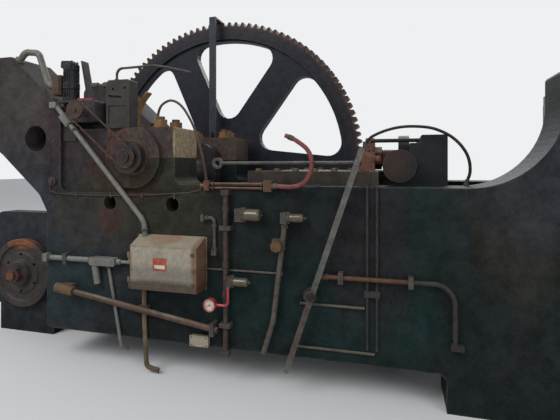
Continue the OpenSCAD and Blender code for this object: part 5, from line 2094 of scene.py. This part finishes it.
@dataclass
class Studio:
    """Camera, floor and lamps."""

    sensor_mm: float = 36.0
    focal_px: float = 432.0
    yaw_deg: float = 15.45
    horizon_up_px: float = 44.0
    place: Point = (1294.0, -2450.0, -43.0)
    floor_size: float = 30.0
    floor_colour: Colour = (0.62, 0.62, 0.62, 1.0)
    floor_roughness: float = 0.9
    lamps: tuple[Lamp, ...] = (
        Lamp("key", (-4.5, -5.0, 5.5), 330.0),
        Lamp("fill", (3.5, -5.5, 3.0), 150.0),
        Lamp("rim", (-1.0, 4.5, 5.0), 240.0),
    )
    lamp_target: Point = (-1.2, 0.0, 0.9)
    sky_light: Colour = (0.9, 0.95, 1.0, 1.0)
    sky_strength: float = 0.55
    backdrop: Colour = (0.86, 0.87, 0.88, 1.0)

    def camera(self) -> None:
        """Sets the camera at the photograph's viewing angle."""
        data = bpy.data.cameras.new("view")
        data.sensor_width = self.sensor_mm
        data.lens = self.focal_px / IMAGE_W * data.sensor_width
        data.shift_y = -self.horizon_up_px / IMAGE_W
        camera = bpy.data.objects.new("view", data)
        camera.location = at_crank(*self.place)
        camera.rotation_euler = (math.radians(90), 0.0, math.radians(self.yaw_deg))
        bpy.context.scene.collection.objects.link(camera)
        bpy.context.scene.camera = camera

    def _floor_material(self) -> bpy.types.Material:
        """Plain matt material of the floor.

        Returns:
            The new material.
        """
        material = bpy.data.materials.new("pale_floor")
        material.use_nodes = True
        shader = material.node_tree.nodes["Principled BSDF"]
        shader.inputs["Base Color"].default_value = self.floor_colour
        shader.inputs["Roughness"].default_value = self.floor_roughness
        return material

    def floor(self) -> None:
        """Lays the pale floor."""
        mesh = bpy.data.meshes.new("floor")
        work = bmesh.new()
        bmesh.ops.create_grid(work, x_segments=1, y_segments=1, size=self.floor_size)
        work.to_mesh(mesh)
        work.free()
        mesh.materials.append(self._floor_material())
        piece = bpy.data.objects.new("floor", mesh)
        bpy.context.scene.collection.objects.link(piece)

    def hang_lamps(self) -> None:
        """Hangs the soft lamps and turns each to the press."""
        for lamp in self.lamps:
            data = bpy.data.lights.new(lamp.name, "AREA")
            data.energy = lamp.power
            data.size = lamp.size
            hung = bpy.data.objects.new(lamp.name, data)
            hung.location = lamp.place
            aim = Vector(self.lamp_target) - Vector(lamp.place)
            hung.rotation_euler = aim.to_track_quat("-Z", "Y").to_euler()
            bpy.context.scene.collection.objects.link(hung)

    def world(self) -> None:
        """Sets a plain world, brighter where it is seen or mirrored than where it lights."""
        world = bpy.data.worlds.new("studio")
        world.use_nodes = True
        tree = world.node_tree
        tree.nodes.clear()
        graph = Graph(tree)
        light = graph.add("Background", Color=self.sky_light, Strength=self.sky_strength)
        seen = graph.add("Background", Color=self.backdrop, Strength=1.0)
        path = graph.add("LightPath")
        direct = graph.math("MAXIMUM", path.outputs["Is Camera Ray"], path.outputs["Is Glossy Ray"])
        direct = graph.math("MAXIMUM", direct, path.outputs["Is Transmission Ray"])
        blend = graph.add("MixShader")
        tree.links.new(direct, blend.inputs[0])
        tree.links.new(light.outputs[0], blend.inputs[1])
        tree.links.new(seen.outputs[0], blend.inputs[2])
        out = graph.add("OutputWorld")
        tree.links.new(blend.outputs[0], out.inputs["Surface"])
        bpy.context.scene.world = world

    def build(self) -> None:
        """Sets up the whole stage."""
        self.camera()
        self.floor()
        self.hang_lamps()
        self.world()
        bpy.context.scene.view_settings.view_transform = "Standard"


def main() -> None:
    """Builds the dressed press."""
    logging.basicConfig(level=logging.INFO, format="%(message)s")
    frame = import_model()
    Studio().build()
    dresser = Dresser(frame["nodes"], Effects())
    dresser.dress()
    slots = {row["node"]: row["material_slot"] for row in frame["record"]["subparts"]}
    for hose in HOSES:
        hose.build(dresser.materials[hose.finish], slots[hose.node])
    builder = Builder(dresser.materials)
    Gauge().build(builder)
    Chain().build(builder, slots["switch_chain"])
    Screws().build(builder)
    DoorPlate().build(builder)
    Fittings().build(builder, slots["pipe_clamps"])
    BowlTrim().build(builder, slots["filter_heads"])
    MotorTrim().build(builder, slots["drive_motor"])
    Threads().build(builder, slots["adjusting_screw"], slots["cap_studs"])
    BoxTrim().build(builder, slots["control_box"])
    LedgeLine().build(builder, slots["air_riser"])


if __name__ == "__main__":
    main()
